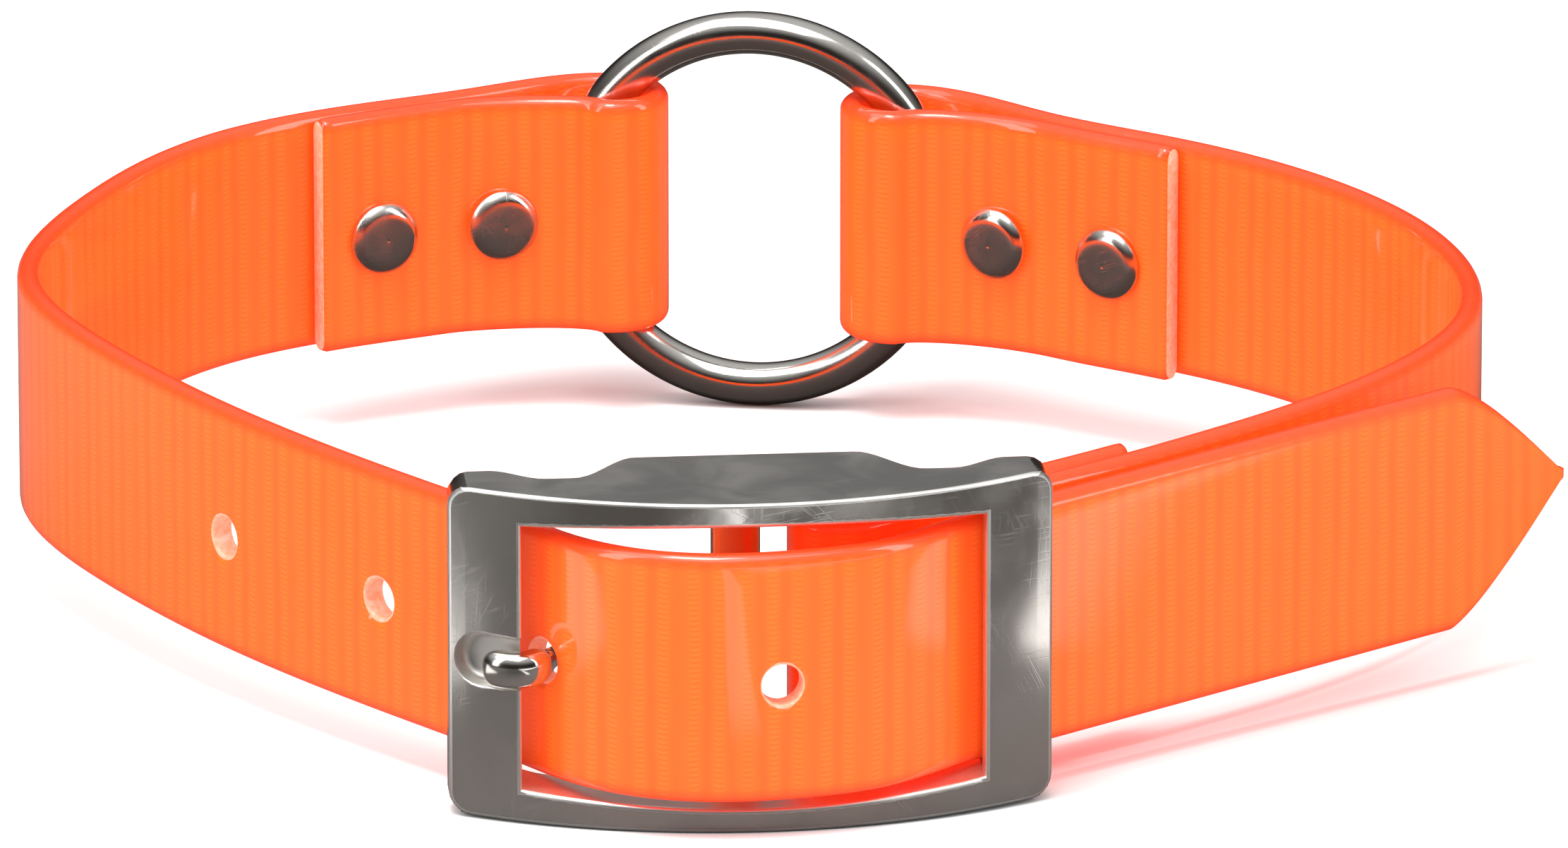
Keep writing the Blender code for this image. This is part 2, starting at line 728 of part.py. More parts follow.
def build_tongue(parts, material, strap_hole):
    """The tongue: an open eye round the first bar, an arm behind the strap, a thick tip in the recess."""
    bar = np.array((TONGUE_BAR_OFFSET, bar_depth))
    along = direction(BUCKLE_YAW)
    offset = strap_hole - buckle_point(0.0, 0.0)
    hole = np.array((offset @ along, offset @ left_of(along)))
    bar_edge = np.array((-half_window, face_depth(half_window)))
    outward = -direction(-bar_slope())
    tip = bar_edge + outward * TONGUE_REACH
    angles = np.arange(EYE_FIRST, EYE_LAST, -TONGUE_STEP / eye_radius)
    eye = [bar + eye_radius * direction(angle) for angle in angles]
    arm = [bar + share * (hole - bar) + (0.0, bow * TONGUE_WIRE) for share, bow in TONGUE_ARM]
    seat = [hole, bar_edge, (bar_edge + tip) / 2 - (0.0, TONGUE_DIP), tip]
    underside = bar - (0.0, eye_radius)
    run = spline([underside, *arm, *seat], (-1.0, 0.0), outward)[:: round(TONGUE_STEP / FINE_STEP)]
    total = lengths_along(run)
    hole_at = total[int(np.argmin(np.linalg.norm(run - hole, axis=1)))]
    radii = [TONGUE_WIRE / 2] * len(eye) + tongue_radii(total, hole_at)
    points = [buckle_point(*point) for point in [*eye, *run]]
    tongue = wire("buckle_tongue", points, radii, WIRE_SIDES, -HOLE_DROP)
    return link(tongue, parts, material)


def material_named(name, colour=None, metallic=0.0, roughness=0.5):
    """A plain finish, made on first use."""
    if name in bpy.data.materials:
        return bpy.data.materials[name]
    material = bpy.data.materials.new(name)
    material.use_nodes = True
    shader = material.node_tree.nodes["Principled BSDF"]
    shader.inputs["Base Color"].default_value = colour
    shader.inputs["Metallic"].default_value = metallic
    shader.inputs["Roughness"].default_value = roughness
    return material


def set_down(parts):
    """Pitches the collar onto the ring and the buckle, and puts the origin under the middle of its box."""
    ring_drop = (ring_radius * math.cos(RING_LEAN)) + RING_WIRE / 2
    buckle_drop = BUCKLE_HEIGHT / 2 - BUCKLE_LIFT
    pitch = math.atan2(ring_drop - buckle_drop, LOOP_DEPTH)
    base = bpy.data.objects.new("collar", None)
    parts.objects.link(base)
    base.rotation_euler.x = pitch
    for obj in bpy.data.objects:
        if obj.parent is None and obj is not base:
            obj.parent = base
    bpy.context.view_layer.update()
    graph = bpy.context.evaluated_depsgraph_get()
    corners = []
    for obj in parts.objects:
        if obj.type != "MESH":
            continue
        evaluated = obj.evaluated_get(graph)
        corners += [evaluated.matrix_world @ vertex.co for vertex in evaluated.data.vertices]
    low = np.min(corners, axis=0)
    high = np.max(corners, axis=0)
    base.location = (-(low[0] + high[0]) / 2, -(low[1] + high[1]) / 2, -low[2])


def main():
    for obj in list(bpy.data.objects):
        bpy.data.objects.remove(obj)
    parts = bpy.data.collections.new("dog collar")
    cutters = bpy.data.collections.new("cutters")
    for collection in (parts, cutters):
        bpy.context.scene.collection.children.link(collection)
    orange = material_named("orange webbing", ORANGE, 0.0, 0.25)
    nickel = material_named("nickel", NICKEL, 1.0, 0.2)
    strap_hole = build_straps(parts, orange)
    build_ring(parts, nickel)
    build_buckle(parts, nickel)
    build_tongue(parts, nickel, strap_hole)
    set_down(parts)


main()
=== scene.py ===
"""Dog collar of glossy coated webbing with a centre ring and a frame buckle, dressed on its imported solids."""

import json
import math

import bmesh
import bpy
import numpy as np
from bpy.props import FloatProperty, FloatVectorProperty, IntProperty, PointerProperty
from mathutils import Matrix, Vector

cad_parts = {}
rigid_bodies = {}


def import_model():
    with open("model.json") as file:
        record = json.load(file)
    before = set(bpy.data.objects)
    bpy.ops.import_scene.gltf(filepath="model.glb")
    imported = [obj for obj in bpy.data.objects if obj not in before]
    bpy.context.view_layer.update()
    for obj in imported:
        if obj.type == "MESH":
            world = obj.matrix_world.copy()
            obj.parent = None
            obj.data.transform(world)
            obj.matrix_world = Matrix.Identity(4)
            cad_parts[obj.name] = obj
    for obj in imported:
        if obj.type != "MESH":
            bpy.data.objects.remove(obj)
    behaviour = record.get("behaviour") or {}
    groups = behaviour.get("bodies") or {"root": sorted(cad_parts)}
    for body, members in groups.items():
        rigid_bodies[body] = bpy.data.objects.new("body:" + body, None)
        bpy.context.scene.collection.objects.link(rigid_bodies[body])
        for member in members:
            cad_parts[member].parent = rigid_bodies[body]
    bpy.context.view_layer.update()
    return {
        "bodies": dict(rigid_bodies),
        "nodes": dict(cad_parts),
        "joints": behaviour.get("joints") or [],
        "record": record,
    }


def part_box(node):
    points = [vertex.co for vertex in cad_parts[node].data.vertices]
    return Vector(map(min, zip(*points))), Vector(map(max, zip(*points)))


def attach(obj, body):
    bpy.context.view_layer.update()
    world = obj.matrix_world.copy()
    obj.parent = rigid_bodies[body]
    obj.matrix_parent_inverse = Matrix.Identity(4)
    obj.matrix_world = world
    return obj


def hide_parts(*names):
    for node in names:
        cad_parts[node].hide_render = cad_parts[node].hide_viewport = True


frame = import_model()

bl_info = {
    "name": "Dog collar with a centre ring",
    "version": (1, 0, 0),
    "blender": (4, 5, 0),
    "location": "View3D > Sidebar > Collar",
    "description": "Builds a riveted dog collar of coated webbing with a ring and a buckle",
    "category": "Object",
}

MM = 0.001
PHOTO_SIZE = (2222, 1201)

# Loop in plan, between the middle of the ring and the front of the buckle
LOOP_WIDTH = 149.4 * MM
LOOP_DEPTH = 154.0 * MM

# Webbing
STRAP_WIDTH = 26.1 * MM
STRAP_THICKNESS = 2.5 * MM
HOLE_DIAMETER = 4.2 * MM
HOLE_PITCH = 25.4 * MM
HOLE_DROP = 0.6 * MM
HOLES_BEFORE_TONGUE = 2
HOLES_AFTER_TONGUE = 1
TAIL_LENGTH = 77.5 * MM
TAIL_ANGLE = math.radians(34.5)
TIP_LENGTH = 15.0 * MM
TIP_RISE = 1.0 * MM
TIP_CURVE = 1.4
FLAP_LENGTH = 37.0 * MM
FLAP_TAPER = 22.0 * MM
BAR_FLAP_LENGTH = 35.4 * MM
BAR_FLAP_TAPER = 9.0 * MM
SHORT_STRAP_ANGLE = math.radians(30.0)
BAR_RUN = 31.0 * MM
BAR_RUN_RISE = 0.9 * MM

# Ring
RING_WIRE = 4.6 * MM
RING_INSIDE = 34.6 * MM
RING_YAW = math.radians(-7.5)
RING_LEAN = math.radians(1.5)
RING_FOLD_SLACK = 1.35 * MM
RING_SPREAD = math.radians(4.0)

# Buckle
BUCKLE_WIDTH = 60.8 * MM
BUCKLE_HEIGHT = 34.6 * MM
BUCKLE_FACE_RADIUS = 56.0 * MM
BUCKLE_PLATE = 3.4 * MM
BUCKLE_SIDE_BAR = 7.1 * MM
BUCKLE_YAW = math.radians(5.0)
BUCKLE_ACROSS = 0.55 * MM
BUCKLE_LIFT = 0.5 * MM
BUCKLE_EDGE = 0.8 * MM
BUCKLE_CORNER = 2.2 * MM
WINDOW_PLAY = 0.8 * MM
WINDOW_BOW = 0.95 * MM
BUMP_WIDTH = 22.4 * MM
BUMP_REACH = 7.4 * MM
BUMP_RAMP = 6.5 * MM
SCOOP_REACH = 1.4 * MM
LOBE_REACH = 4.4 * MM
LOBE_WIDTH = 4.5 * MM
LOBE_RAMP = 5.5 * MM
BAR_DIAMETER = 5.0 * MM
TONGUE_BAR_OFFSET = -1.2 * MM

# Tongue
TONGUE_WIRE = 2.0 * MM
TONGUE_TIP_WIDTH = 3.7 * MM
TONGUE_REACH = 4.2 * MM
TONGUE_DIP = 0.5 * MM
TONGUE_SWELL = 3.5 * MM
TONGUE_HOLE_OFFSET = 3.3 * MM
EYE_FIRST = math.radians(185.0)
EYE_LAST = math.radians(-90.0)
RECESS_WIDTH = 5.5 * MM
RECESS_LENGTH = 7.0 * MM
RECESS_DEPTH = 2.2 * MM
RECESS_LIFT = 0.5 * MM

# Rivets
RIVET_CAP = 7.8 * MM
RIVET_CAP_HEIGHT = 1.0 * MM
RIVET_POST = 3.0 * MM
RIVET_FIRST = 15.7 * MM
RIVET_PITCH = 13.8 * MM
RIVET_DROP = 0.9 * MM
BAR_RIVET_FIRST = 9.0 * MM
BAR_RIVET_PITCH = 11.0 * MM

# Fits
CLEARANCE = 0.3 * MM
LAYER_GAP = 0.35 * MM
EYE_GAP = 0.4 * MM

# Facets of these pieces
FINE_STEP = 0.25 * MM
FACE_STEPS = 36
WALL_STEPS = 72
WINDOW_STEPS = 64
CORNER_STEPS = 5
RIM_STEPS = 6
EDGE_STEPS = 10
FLAT_STEPS = 12
HOLE_SIDES = 56
BAR_SIDES = 48
TONGUE_SIDES = 40
CAP_SIDES = 64
POST_SIDES = 32

# Plan of each strap from the ring to the buckle:
# across as a share of half LOOP_WIDTH, along as a share of half LOOP_DEPTH
LEFT_SIDE = (
    (-0.397, 1.023),
    (-0.605, 0.925),
    (-0.753, 0.824),
    (-0.937, 0.530),
    (-1.010, 0.190),
    (-0.889, -0.133),
    (-0.709, -0.4075),
    (-0.487, -0.670),
)
RIGHT_SIDE = (
    (0.419, 0.9055),
    (0.592, 0.792),
    (0.793, 0.622),
    (0.957, 0.3505),
    (0.987, 0.0246),
    (0.844, -0.269),
    (0.621, -0.503),
)
# The long strap across the buckle's window: across as a share of half the window's width,
# behind the side bars' back at the window's edge as a share of the bump's depth
WINDOW_PATH = (
    (-0.957, 0.213),
    (-0.749, -0.177),
    (-0.433, -0.484),
    (-0.190, -0.567),
    (0.200, -0.537),
    (0.554, -0.378),
)
# The tongue's arm: share of the way from its bar to the strap's hole,
# behind that line as a share of TONGUE_WIRE
TONGUE_ARM = (
    (0.44, 0.75),
    (0.70, 0.75),
)
# A rivet's cap, domed and dished a little: from the middle as a share of its radius, up as a share of
# its height, and how much of the middle dot's depth it has
CAP_LOOK = (
    (0.00, 1.00, -1.0),
    (0.03, 1.00, -0.8),
    (0.055, 1.00, -0.1),
    (0.07, 1.00, 0.0),
    (0.15, 1.00, 0.0),
    (0.30, 0.995, 0.0),
    (0.45, 0.985, 0.0),
    (0.60, 0.965, 0.0),
    (0.72, 0.93, 0.0),
    (0.82, 0.85, 0.0),
    (0.89, 0.68, 0.0),
    (0.945, 0.55, 0.0),
    (0.98, 0.41, 0.0),
    (1.00, 0.26, 0.0),
    (0.99, 0.10, 0.0),
    (0.96, 0.00, 0.0),
    (0.00, 0.00, 0.0),
)

# Finer forms that only these pieces have
TIP_BLUNT = 0.045
RECESS_FLOOR_ROUND = 1.1 * MM
RECESS_RIM = 0.3 * MM
TONGUE_TIP_DEPTH = 3.0 * MM
TONGUE_SQUARE = 0.85
TONGUE_BLUNT = 0.05
BEVEL_STEPS = 5

# The camera of the photo, in the plan's own frame
CAMERA_TARGET = (1.8 * MM, 14.7 * MM, 0.0)
CAMERA_FOCAL_PIXELS = 27160.0
CAMERA_AXIS_PIXELS = (1092.6, 550.3)
LIGHTS_AIM = (0.0, 0.0, 0.02)

# Sizes that follow from those above
layer_pitch = STRAP_THICKNESS + LAYER_GAP
half_strap = STRAP_THICKNESS / 2
ring_radius = (RING_INSIDE + RING_WIRE) / 2
ring_fold_radius = RING_WIRE / 2 + RING_FOLD_SLACK + half_strap
half_window = BUCKLE_WIDTH / 2 - BUCKLE_SIDE_BAR
window_height = STRAP_WIDTH + 2 * WINDOW_PLAY
face_fall = BUCKLE_FACE_RADIUS - math.sqrt(BUCKLE_FACE_RADIUS**2 - (BUCKLE_WIDTH / 2) ** 2)
bump_depth = face_fall + BUMP_REACH
scoop_depth = face_fall + SCOOP_REACH
lobe_depth = face_fall + LOBE_REACH
bar_depth = bump_depth - BUCKLE_EDGE - BAR_DIAMETER / 2
bar_fold_radius = BAR_DIAMETER / 2 + CLEARANCE + half_strap
eye_radius = BAR_DIAMETER / 2 + CLEARANCE + TONGUE_WIRE / 2
strap_bar_offset = TONGUE_BAR_OFFSET + eye_radius + TONGUE_WIRE / 2 + EYE_GAP + bar_fold_radius + half_strap


def direction(angle):
    return np.array((math.cos(angle), math.sin(angle)))


def left_of(vector):
    return np.array((-vector[1], vector[0]))


def ring_point(across, back):
    """A place in plan, measured from the ring's middle along its own plane and behind it."""
    along = direction(RING_YAW)
    return np.array((0.0, LOOP_DEPTH / 2)) + across * along + back * left_of(along)


def buckle_point(across, back):
    """A place in plan, measured from the middle of the buckle's face."""
    along = direction(BUCKLE_YAW)
    return np.array((BUCKLE_ACROSS, -LOOP_DEPTH / 2)) + across * along + back * left_of(along)


def face_depth(across):
    """How far the curved face has fallen back from its middle."""
    return BUCKLE_FACE_RADIUS - math.sqrt(BUCKLE_FACE_RADIUS**2 - across**2)


def smoothstep(share):
    share = min(max(share, 0.0), 1.0)
    return share * share * (3.0 - 2.0 * share)


def spline(knots, start, end):
    """Fine points of a cubic through the knots, leaving along start and arriving along end."""
    knots = np.array(knots)
    gaps = np.linalg.norm(np.diff(knots, axis=0), axis=1)
    count = len(knots)
    matrix = np.zeros((count, count))
    right = np.zeros((count, 2))
    matrix[0, 0] = matrix[-1, -1] = 1.0
    right[0], right[-1] = start, end
    for i in range(1, count - 1):
        before, after = gaps[i - 1], gaps[i]
        matrix[i, i - 1 : i + 2] = after, 2.0 * (before + after), before
        right[i] = 3.0 * (
            after * (knots[i] - knots[i - 1]) / before + before * (knots[i + 1] - knots[i]) / after
        )
    slopes = np.linalg.solve(matrix, right)
    points = []
    for i, gap in enumerate(gaps):
        for share in np.arange(0.0, 1.0, FINE_STEP / gap):
            far = 1.0 - share
            points.append(
                (1.0 + 2.0 * share) * far**2 * knots[i]
                + share * far**2 * gap * slopes[i]
                + share**2 * (3.0 - 2.0 * share) * knots[i + 1]
                - share**2 * far * gap * slopes[i + 1]
            )
    return np.array(points + [knots[-1]])


def arc(centre, radius, first, last):
    """Fine points of an arc in plan, from one angle to another."""
    count = max(8, math.ceil(abs(last - first) * radius / FINE_STEP))
    return np.array([centre + radius * direction(angle) for angle in np.linspace(first, last, count + 1)])


def lengths_along(points):
    return np.concatenate([[0.0], np.cumsum(np.linalg.norm(np.diff(points, axis=0), axis=1))])


def place_on(points, length):
    """The point and the unit direction at a length along a path."""
    along = lengths_along(points)
    point = np.array([np.interp(length, along, points[:, i]) for i in range(2)])
    ahead = np.array([np.interp(length + FINE_STEP, along, points[:, i]) for i in range(2)])
    behind = np.array([np.interp(length - FINE_STEP, along, points[:, i]) for i in range(2)])
    return point, (ahead - behind) / np.linalg.norm(ahead - behind)


def layers_apart(length, fold_radius, taper):
    """How far a folded flap's middle lies from the strap's, at a length from the fold."""
    return layer_pitch + (2.0 * fold_radius - layer_pitch) * smoothstep(1.0 - length / taper)


def flap_beside(points, side, flap_length, fold_radius, taper):
    """The flap that lies beside the start of a path, from its free end back to the fold."""
    flap = []
    for length in np.arange(flap_length, 0.0, -FINE_STEP):
        point, along = place_on(points, length)
        flap.append(point + side * left_of(along) * layers_apart(length, fold_radius, taper))
    return np.array(flap)


def joined(*parts):
    """Path parts end to end, without the points that repeat."""
    points = np.concatenate(parts)
    keep = np.concatenate([[True], np.linalg.norm(np.diff(points, axis=0), axis=1) > FINE_STEP / 10])
    return points[keep]


def fold_centre(side):
    """The middle of the ring fold on one side, where the wire just clears the strap's rounded edges."""
    rounded = half_strap * (1.0 - math.sqrt(0.5))
    crossing = math.sqrt((RING_INSIDE / 2) ** 2 - (STRAP_WIDTH / 2 - rounded) ** 2) + rounded
    return side * (crossing - CLEARANCE + ring_fold_radius - half_strap)


def fold_end(side):
    """Where the outer layer leaves the ring fold, and its heading there, spread back to clear the ring."""
    spread = side * RING_SPREAD
    away = direction(RING_YAW + spread)
    return ring_point(fold_centre(side), 0.0) + ring_fold_radius * left_of(away), side * away


def ring_fold(side, outer):
    """The turn round the ring's wire, from the flap to the outer layer, and the flap before it."""
    first = RING_YAW - math.pi / 2
    turned = side * (RING_SPREAD - math.pi)
    turn = arc(ring_point(fold_centre(side), 0.0), ring_fold_radius, first, first + turned)
    flap = flap_beside(outer, -side, FLAP_LENGTH, ring_fold_radius, FLAP_TAPER)
    return flap, turn


def side_knots(table):
    return [(across * LOOP_WIDTH / 2, along * LOOP_DEPTH / 2) for across, along in table]


def plan_long_strap():
    """The path of the long strap, and the lengths along it of the ring fold and of the tongue's hole."""
    start, away = fold_end(-1)
    bar_back = face_depth(half_window) + BUCKLE_PLATE
    window = [buckle_point(u * half_window, bar_back + w * bump_depth) for u, w in WINDOW_PATH]
    lean_out = half_strap + CLEARANCE
    leave = buckle_point(half_window, bar_back + lean_out / math.cos(TAIL_ANGLE))
    heading = direction(BUCKLE_YAW + TAIL_ANGLE)
    outer = spline([start, *side_knots(LEFT_SIDE), *window, leave], away, heading)
    flap, turn = ring_fold(-1, outer)
    tail = np.array([leave + heading * FINE_STEP, leave + heading * TAIL_LENGTH])
    path = joined(flap, turn, outer, tail)
    fold_length = lengths_along(joined(flap, turn))[-1]
    hole = buckle_point(TONGUE_HOLE_OFFSET - half_window, 0.0)
    across = (path - hole) @ direction(BUCKLE_YAW)
    behind = (path - hole) @ left_of(direction(BUCKLE_YAW))
    near = np.where(behind < bump_depth, np.abs(across), np.inf)
    return path, fold_length, lengths_along(path)[int(np.argmin(near))]


def plan_short_strap():
    """The path of the short strap, and the lengths along it of its two folds."""
    start, away = fold_end(1)
    bar = buckle_point(strap_bar_offset, bar_depth)
    heading = -direction(BUCKLE_YAW + SHORT_STRAP_ANGLE)
    arrive = bar + bar_fold_radius * left_of(heading)
    run_in = arrive - BAR_RUN * heading - BAR_RUN_RISE * left_of(heading)
    outer = spline([start, *side_knots(RIGHT_SIDE), run_in, arrive], away, heading)
    flap, turn = ring_fold(1, outer)
    first = BUCKLE_YAW + SHORT_STRAP_ANGLE - math.pi / 2
    bar_turn = arc(bar, bar_fold_radius, first, first - math.pi)
    bar_flap = flap_beside(outer[::-1], 1, BAR_FLAP_LENGTH, bar_fold_radius, BAR_FLAP_TAPER)[::-1]
    path = joined(flap, turn, outer, bar_turn, bar_flap)
    ring_fold_length = lengths_along(joined(flap, turn))[-1]
    bar_fold_length = lengths_along(joined(flap, turn, outer))[-1]
    return path, ring_fold_length, bar_fold_length


def across_frame(point, along, height=0.0):
    """Local Z looks through the strap, local X runs along it and local Y is up."""
    x_axis = Vector((along[0], along[1], 0.0)).normalized()
    y_axis = Vector((0.0, 0.0, 1.0))
    frame = Matrix((x_axis, y_axis, x_axis.cross(y_axis))).transposed().to_4x4()
    frame.translation = (point[0], point[1], height)
    return frame


def wall_back(across):
    """How far back the buckle's two walls reach: a middle bump, scoops beside it and a lobe at each end."""
    from_middle = abs(across)
    bump = smoothstep(1.0 - (from_middle - BUMP_WIDTH / 2) / BUMP_RAMP)
    lobe_start = BUCKLE_WIDTH / 2 - LOBE_WIDTH - LOBE_RAMP
    lobe = smoothstep((from_middle - lobe_start) / LOBE_RAMP)
    return scoop_depth + (bump_depth - scoop_depth) * bump + (lobe_depth - scoop_depth) * lobe


def buckle_outline():
    """The buckle in its own plan: curved face in front, the walls' outline behind."""
    end = BUCKLE_WIDTH / 2
    corner = LOBE_WIDTH / 2
    front = [(x, face_depth(x)) for x in np.linspace(-end, end, FACE_STEPS + 1)]
    middle_run = end - corner
    back = [(x, wall_back(x)) for x in np.linspace(middle_run, -middle_run, WALL_STEPS + 1)]
    centre = np.array((middle_run, lobe_depth - corner))
    turn = np.linspace(0.0, math.pi / 2, CORNER_STEPS)[:-1]
    right_corner = [tuple(centre + corner * direction(angle)) for angle in turn]
    left_corner = [(-x, y) for x, y in reversed(right_corner)]
    return front + right_corner + back + left_corner


def window_outline():
    """The window as seen from the front, its top and bottom edges bowed apart."""
    top = []
    for share in np.linspace(1.0, -1.0, WINDOW_STEPS + 1):
        top.append((share * half_window, window_height / 2 + WINDOW_BOW * (1.0 - share**2)))
    return top + [(-x, -z) for x, z in top]


def front_outline():
    """The buckle as seen from the front: a rectangle with rounded corners."""
    across = BUCKLE_WIDTH / 2 - BUCKLE_CORNER
    up = BUCKLE_HEIGHT / 2 - BUCKLE_CORNER
    outline = []
    for quarter in range(4):
        first = quarter * math.pi / 2
        middle = first + math.pi / 4
        centre = np.array((math.copysign(across, math.cos(middle)), math.copysign(up, math.sin(middle))))
        for angle in np.linspace(first, first + math.pi / 2, CORNER_STEPS + 1):
            outline.append(tuple(centre + BUCKLE_CORNER * direction(angle)))
    return outline


def recess_outline():
    """A slot with one round end, open towards the window."""
    half = RECESS_WIDTH / 2
    straight = RECESS_LENGTH - half
    turn = []
    for angle in np.linspace(0.0, math.pi, 2 * CORNER_STEPS + 1):
        turn.append((-straight - half * math.sin(angle), half * math.cos(angle)))
    return [(2 * half, half), *turn, (2 * half, -half)]


def bar_slope():
    """The slope of the curved face at the middle of a side bar."""
    return math.asin((half_window + BUCKLE_SIDE_BAR / 2) / BUCKLE_FACE_RADIUS)


def base_matrix():
    """Where the plan of the straps lies in the row frame: pitched, with the ring where its solid is."""
    ring_drop = ring_radius * math.cos(RING_LEAN) + RING_WIRE / 2
    pitch = math.atan2(ring_drop - (BUCKLE_HEIGHT / 2 - BUCKLE_LIFT), LOOP_DEPTH)
    turn = Matrix.Rotation(pitch, 4, "X")
    low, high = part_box("center_ring")
    middle = (Vector(low) + Vector(high)) / 2
    return Matrix.Translation(middle - turn @ Vector((0.0, LOOP_DEPTH / 2, 0.0))) @ turn


def new_mesh(name, points, faces, marks=None):
    """A smooth mesh object; marks is a material index for each face."""
    mesh = bpy.data.meshes.new(name)
    mesh.from_pydata([tuple(point) for point in points], [], faces)
    mesh.shade_smooth()
    if marks is not None:
        mesh.polygons.foreach_set("material_index", marks)
    obj = bpy.data.objects.new(name, mesh)
    bpy.context.scene.collection.objects.link(obj)
    return obj


def faced_out(obj):
    """Turns every face of a closed mesh outwards."""
    shape = bmesh.new()
    shape.from_mesh(obj.data)
    bmesh.ops.recalc_face_normals(shape, faces=shape.faces)
    shape.to_mesh(obj.data)
    shape.free()
    return obj


def ring_faces(rings, count):
    """Quads between rings of points that follow each other, and one face over each end."""
    faces = []
    for r in range(rings - 1):
        for k in range(count):
            j = (k + 1) % count
            faces.append((r * count + k, (r + 1) * count + k, (r + 1) * count + j, r * count + j))
    return [*faces, range(count), range((rings - 1) * count, rings * count)]


def helper(obj):
    """Hides a cutter or a pattern piece, which is removed once its work is baked."""
    obj.hide_render = True
    obj.hide_set(True)
    return obj


def baked(obj, matrix=None, names=()):
    """The object's evaluated shape as a plain mesh at the origin; the helpers named are removed."""
    graph = bpy.context.evaluated_depsgraph_get()
    mesh = bpy.data.meshes.new_from_object(obj.evaluated_get(graph), depsgraph=graph)
    mesh.transform((matrix or Matrix.Identity(4)) @ obj.matrix_world)
    name = obj.name
    bpy.data.objects.remove(obj)
    for other in names:
        bpy.data.objects.remove(bpy.data.objects[other])
    plain = bpy.data.objects.new(name, mesh)
    bpy.context.scene.collection.objects.link(plain)
    return plain


def finished(obj, nodes, body="collar"):
    """Says which body a piece rides on, which solids it stands for."""
    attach(obj, body)
    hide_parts(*nodes)


def cut(obj, other, operation="DIFFERENCE"):
    """Cuts, joins or keeps what two solids share; the cut faces take the other one's material."""
    modifier = obj.modifiers.new(other.name, "BOOLEAN")
    modifier.operation = operation
    modifier.solver = "EXACT"
    modifier.material_mode = "TRANSFER"
    modifier.object = other


def lathe(name, profile, sides, matrix=None):
    """A closed solid turned about local Z from an outline that runs from top to bottom."""
    points, faces = [], []
    for x, z in profile[1:-1]:
        for i in range(sides):
            a = 2.0 * math.pi * i / sides
            points.append((x * math.cos(a), x * math.sin(a), z))
    rings = len(profile) - 2
    for r in range(rings - 1):
        for i in range(sides):
            j = (i + 1) % sides
            faces.append((r * sides + i, (r + 1) * sides + i, (r + 1) * sides + j, r * sides + j))
    top, bottom = len(points), len(points) + 1
    points += [(0.0, 0.0, profile[0][1]), (0.0, 0.0, profile[-1][1])]
    last = (rings - 1) * sides
    for i in range(sides):
        j = (i + 1) % sides
        faces.append((top, i, j))
        faces.append((bottom, last + j, last + i))
    obj = new_mesh(name, points, faces)
    obj.matrix_world = matrix or Matrix.Identity(4)
    return obj


def resampled(path, step, end=None):
    """Even points on a path, with finer ones over its last stretch."""
    along = lengths_along(path)
    total = along[-1]
    fine = end or 0.0
    places = np.arange(0.0, total - fine, step)
    if fine:
        places = np.concatenate([places, np.arange(total - fine, total, step / 2)])
    places = np.append(places[places < total - step / 4], total)
    points = np.stack([np.interp(places, along, path[:, i]) for i in range(2)], axis=1)
    return places, points


def strap_profile():
    """The webbing's section as (through, up), walked once round."""
    centre = STRAP_WIDTH / 2 - half_strap
    section = []
    for a in np.linspace(0.0, math.pi, EDGE_STEPS + 1):
        section.append((half_strap * math.cos(a), centre + half_strap * math.sin(a)))
    for z in np.linspace(centre, -centre, FLAT_STEPS + 1)[1:-1]:
        section.append((-half_strap, z))
    for a in np.linspace(math.pi, 2.0 * math.pi, EDGE_STEPS + 1):
        section.append((half_strap * math.cos(a), -centre + half_strap * math.sin(a)))
    for z in np.linspace(-centre, centre, FLAT_STEPS + 1)[1:-1]:
        section.append((half_strap, z))
    return section


def sweep_strap(name, path, look, tip=False, rivets=()):
    """A strap swept along its plan with faint cross ribs, soft cut ends, and dimples under its rivets."""
    places, points = resampled(path, look.step, TIP_LENGTH if tip else None)
    total = places[-1]
    tangents = np.gradient(points, axis=0)
    tangents /= np.linalg.norm(tangents, axis=1)[:, None]
    section = strap_profile()
    half = STRAP_WIDTH / 2
    wave = 2.0 * math.pi / look.rib_pitch
    verts, uvs = [], []
    for place, point, tangent in zip(places, points, tangents):
        side = np.array((tangent[1], -tangent[0]))
        soft = min(place, total - place) / look.end_round
        shrink = look.end_round * (1.0 - math.sqrt(1.0 - (1.0 - soft) ** 2)) if soft < 1.0 else 0.0
        share = max(0.0, 1.0 - (total - place) / TIP_LENGTH) if tip else 0.0
        open_share = max(1.0 - share**TIP_CURVE, TIP_BLUNT)
        rib = look.rib_depth * (0.6 * math.sin(wave * place) + 0.4 * math.sin(2.3 * wave * place + 1.7))
        for through, up in section:
            flat = 1.0 if abs(up) < half - half_strap else 0.35
            thick = through * (1.0 - shrink / half_strap) + math.copysign(rib * flat, through)
            height = up * (1.0 - shrink / half)
            if share > 0.0:
                height = TIP_RISE * share + height / half * open_share * (half - TIP_RISE * share)
            xy = point + side * thick
            verts.append((xy[0], xy[1], height))
            uvs.append((place, up))
    faces = ring_faces(len(places), len(section))
    marks = [0] * (len(faces) - 2) + [1, 1]
    verts = dimpled(np.array(verts), rivets, look)
    obj = new_mesh(name, verts, faces, marks)
    layer = obj.data.uv_layers.new(name="along")
    flat_uv = np.array([uvs[loop.vertex_index] for loop in obj.data.loops])
    layer.data.foreach_set("uv", flat_uv.ravel())
    return faced_out(obj)


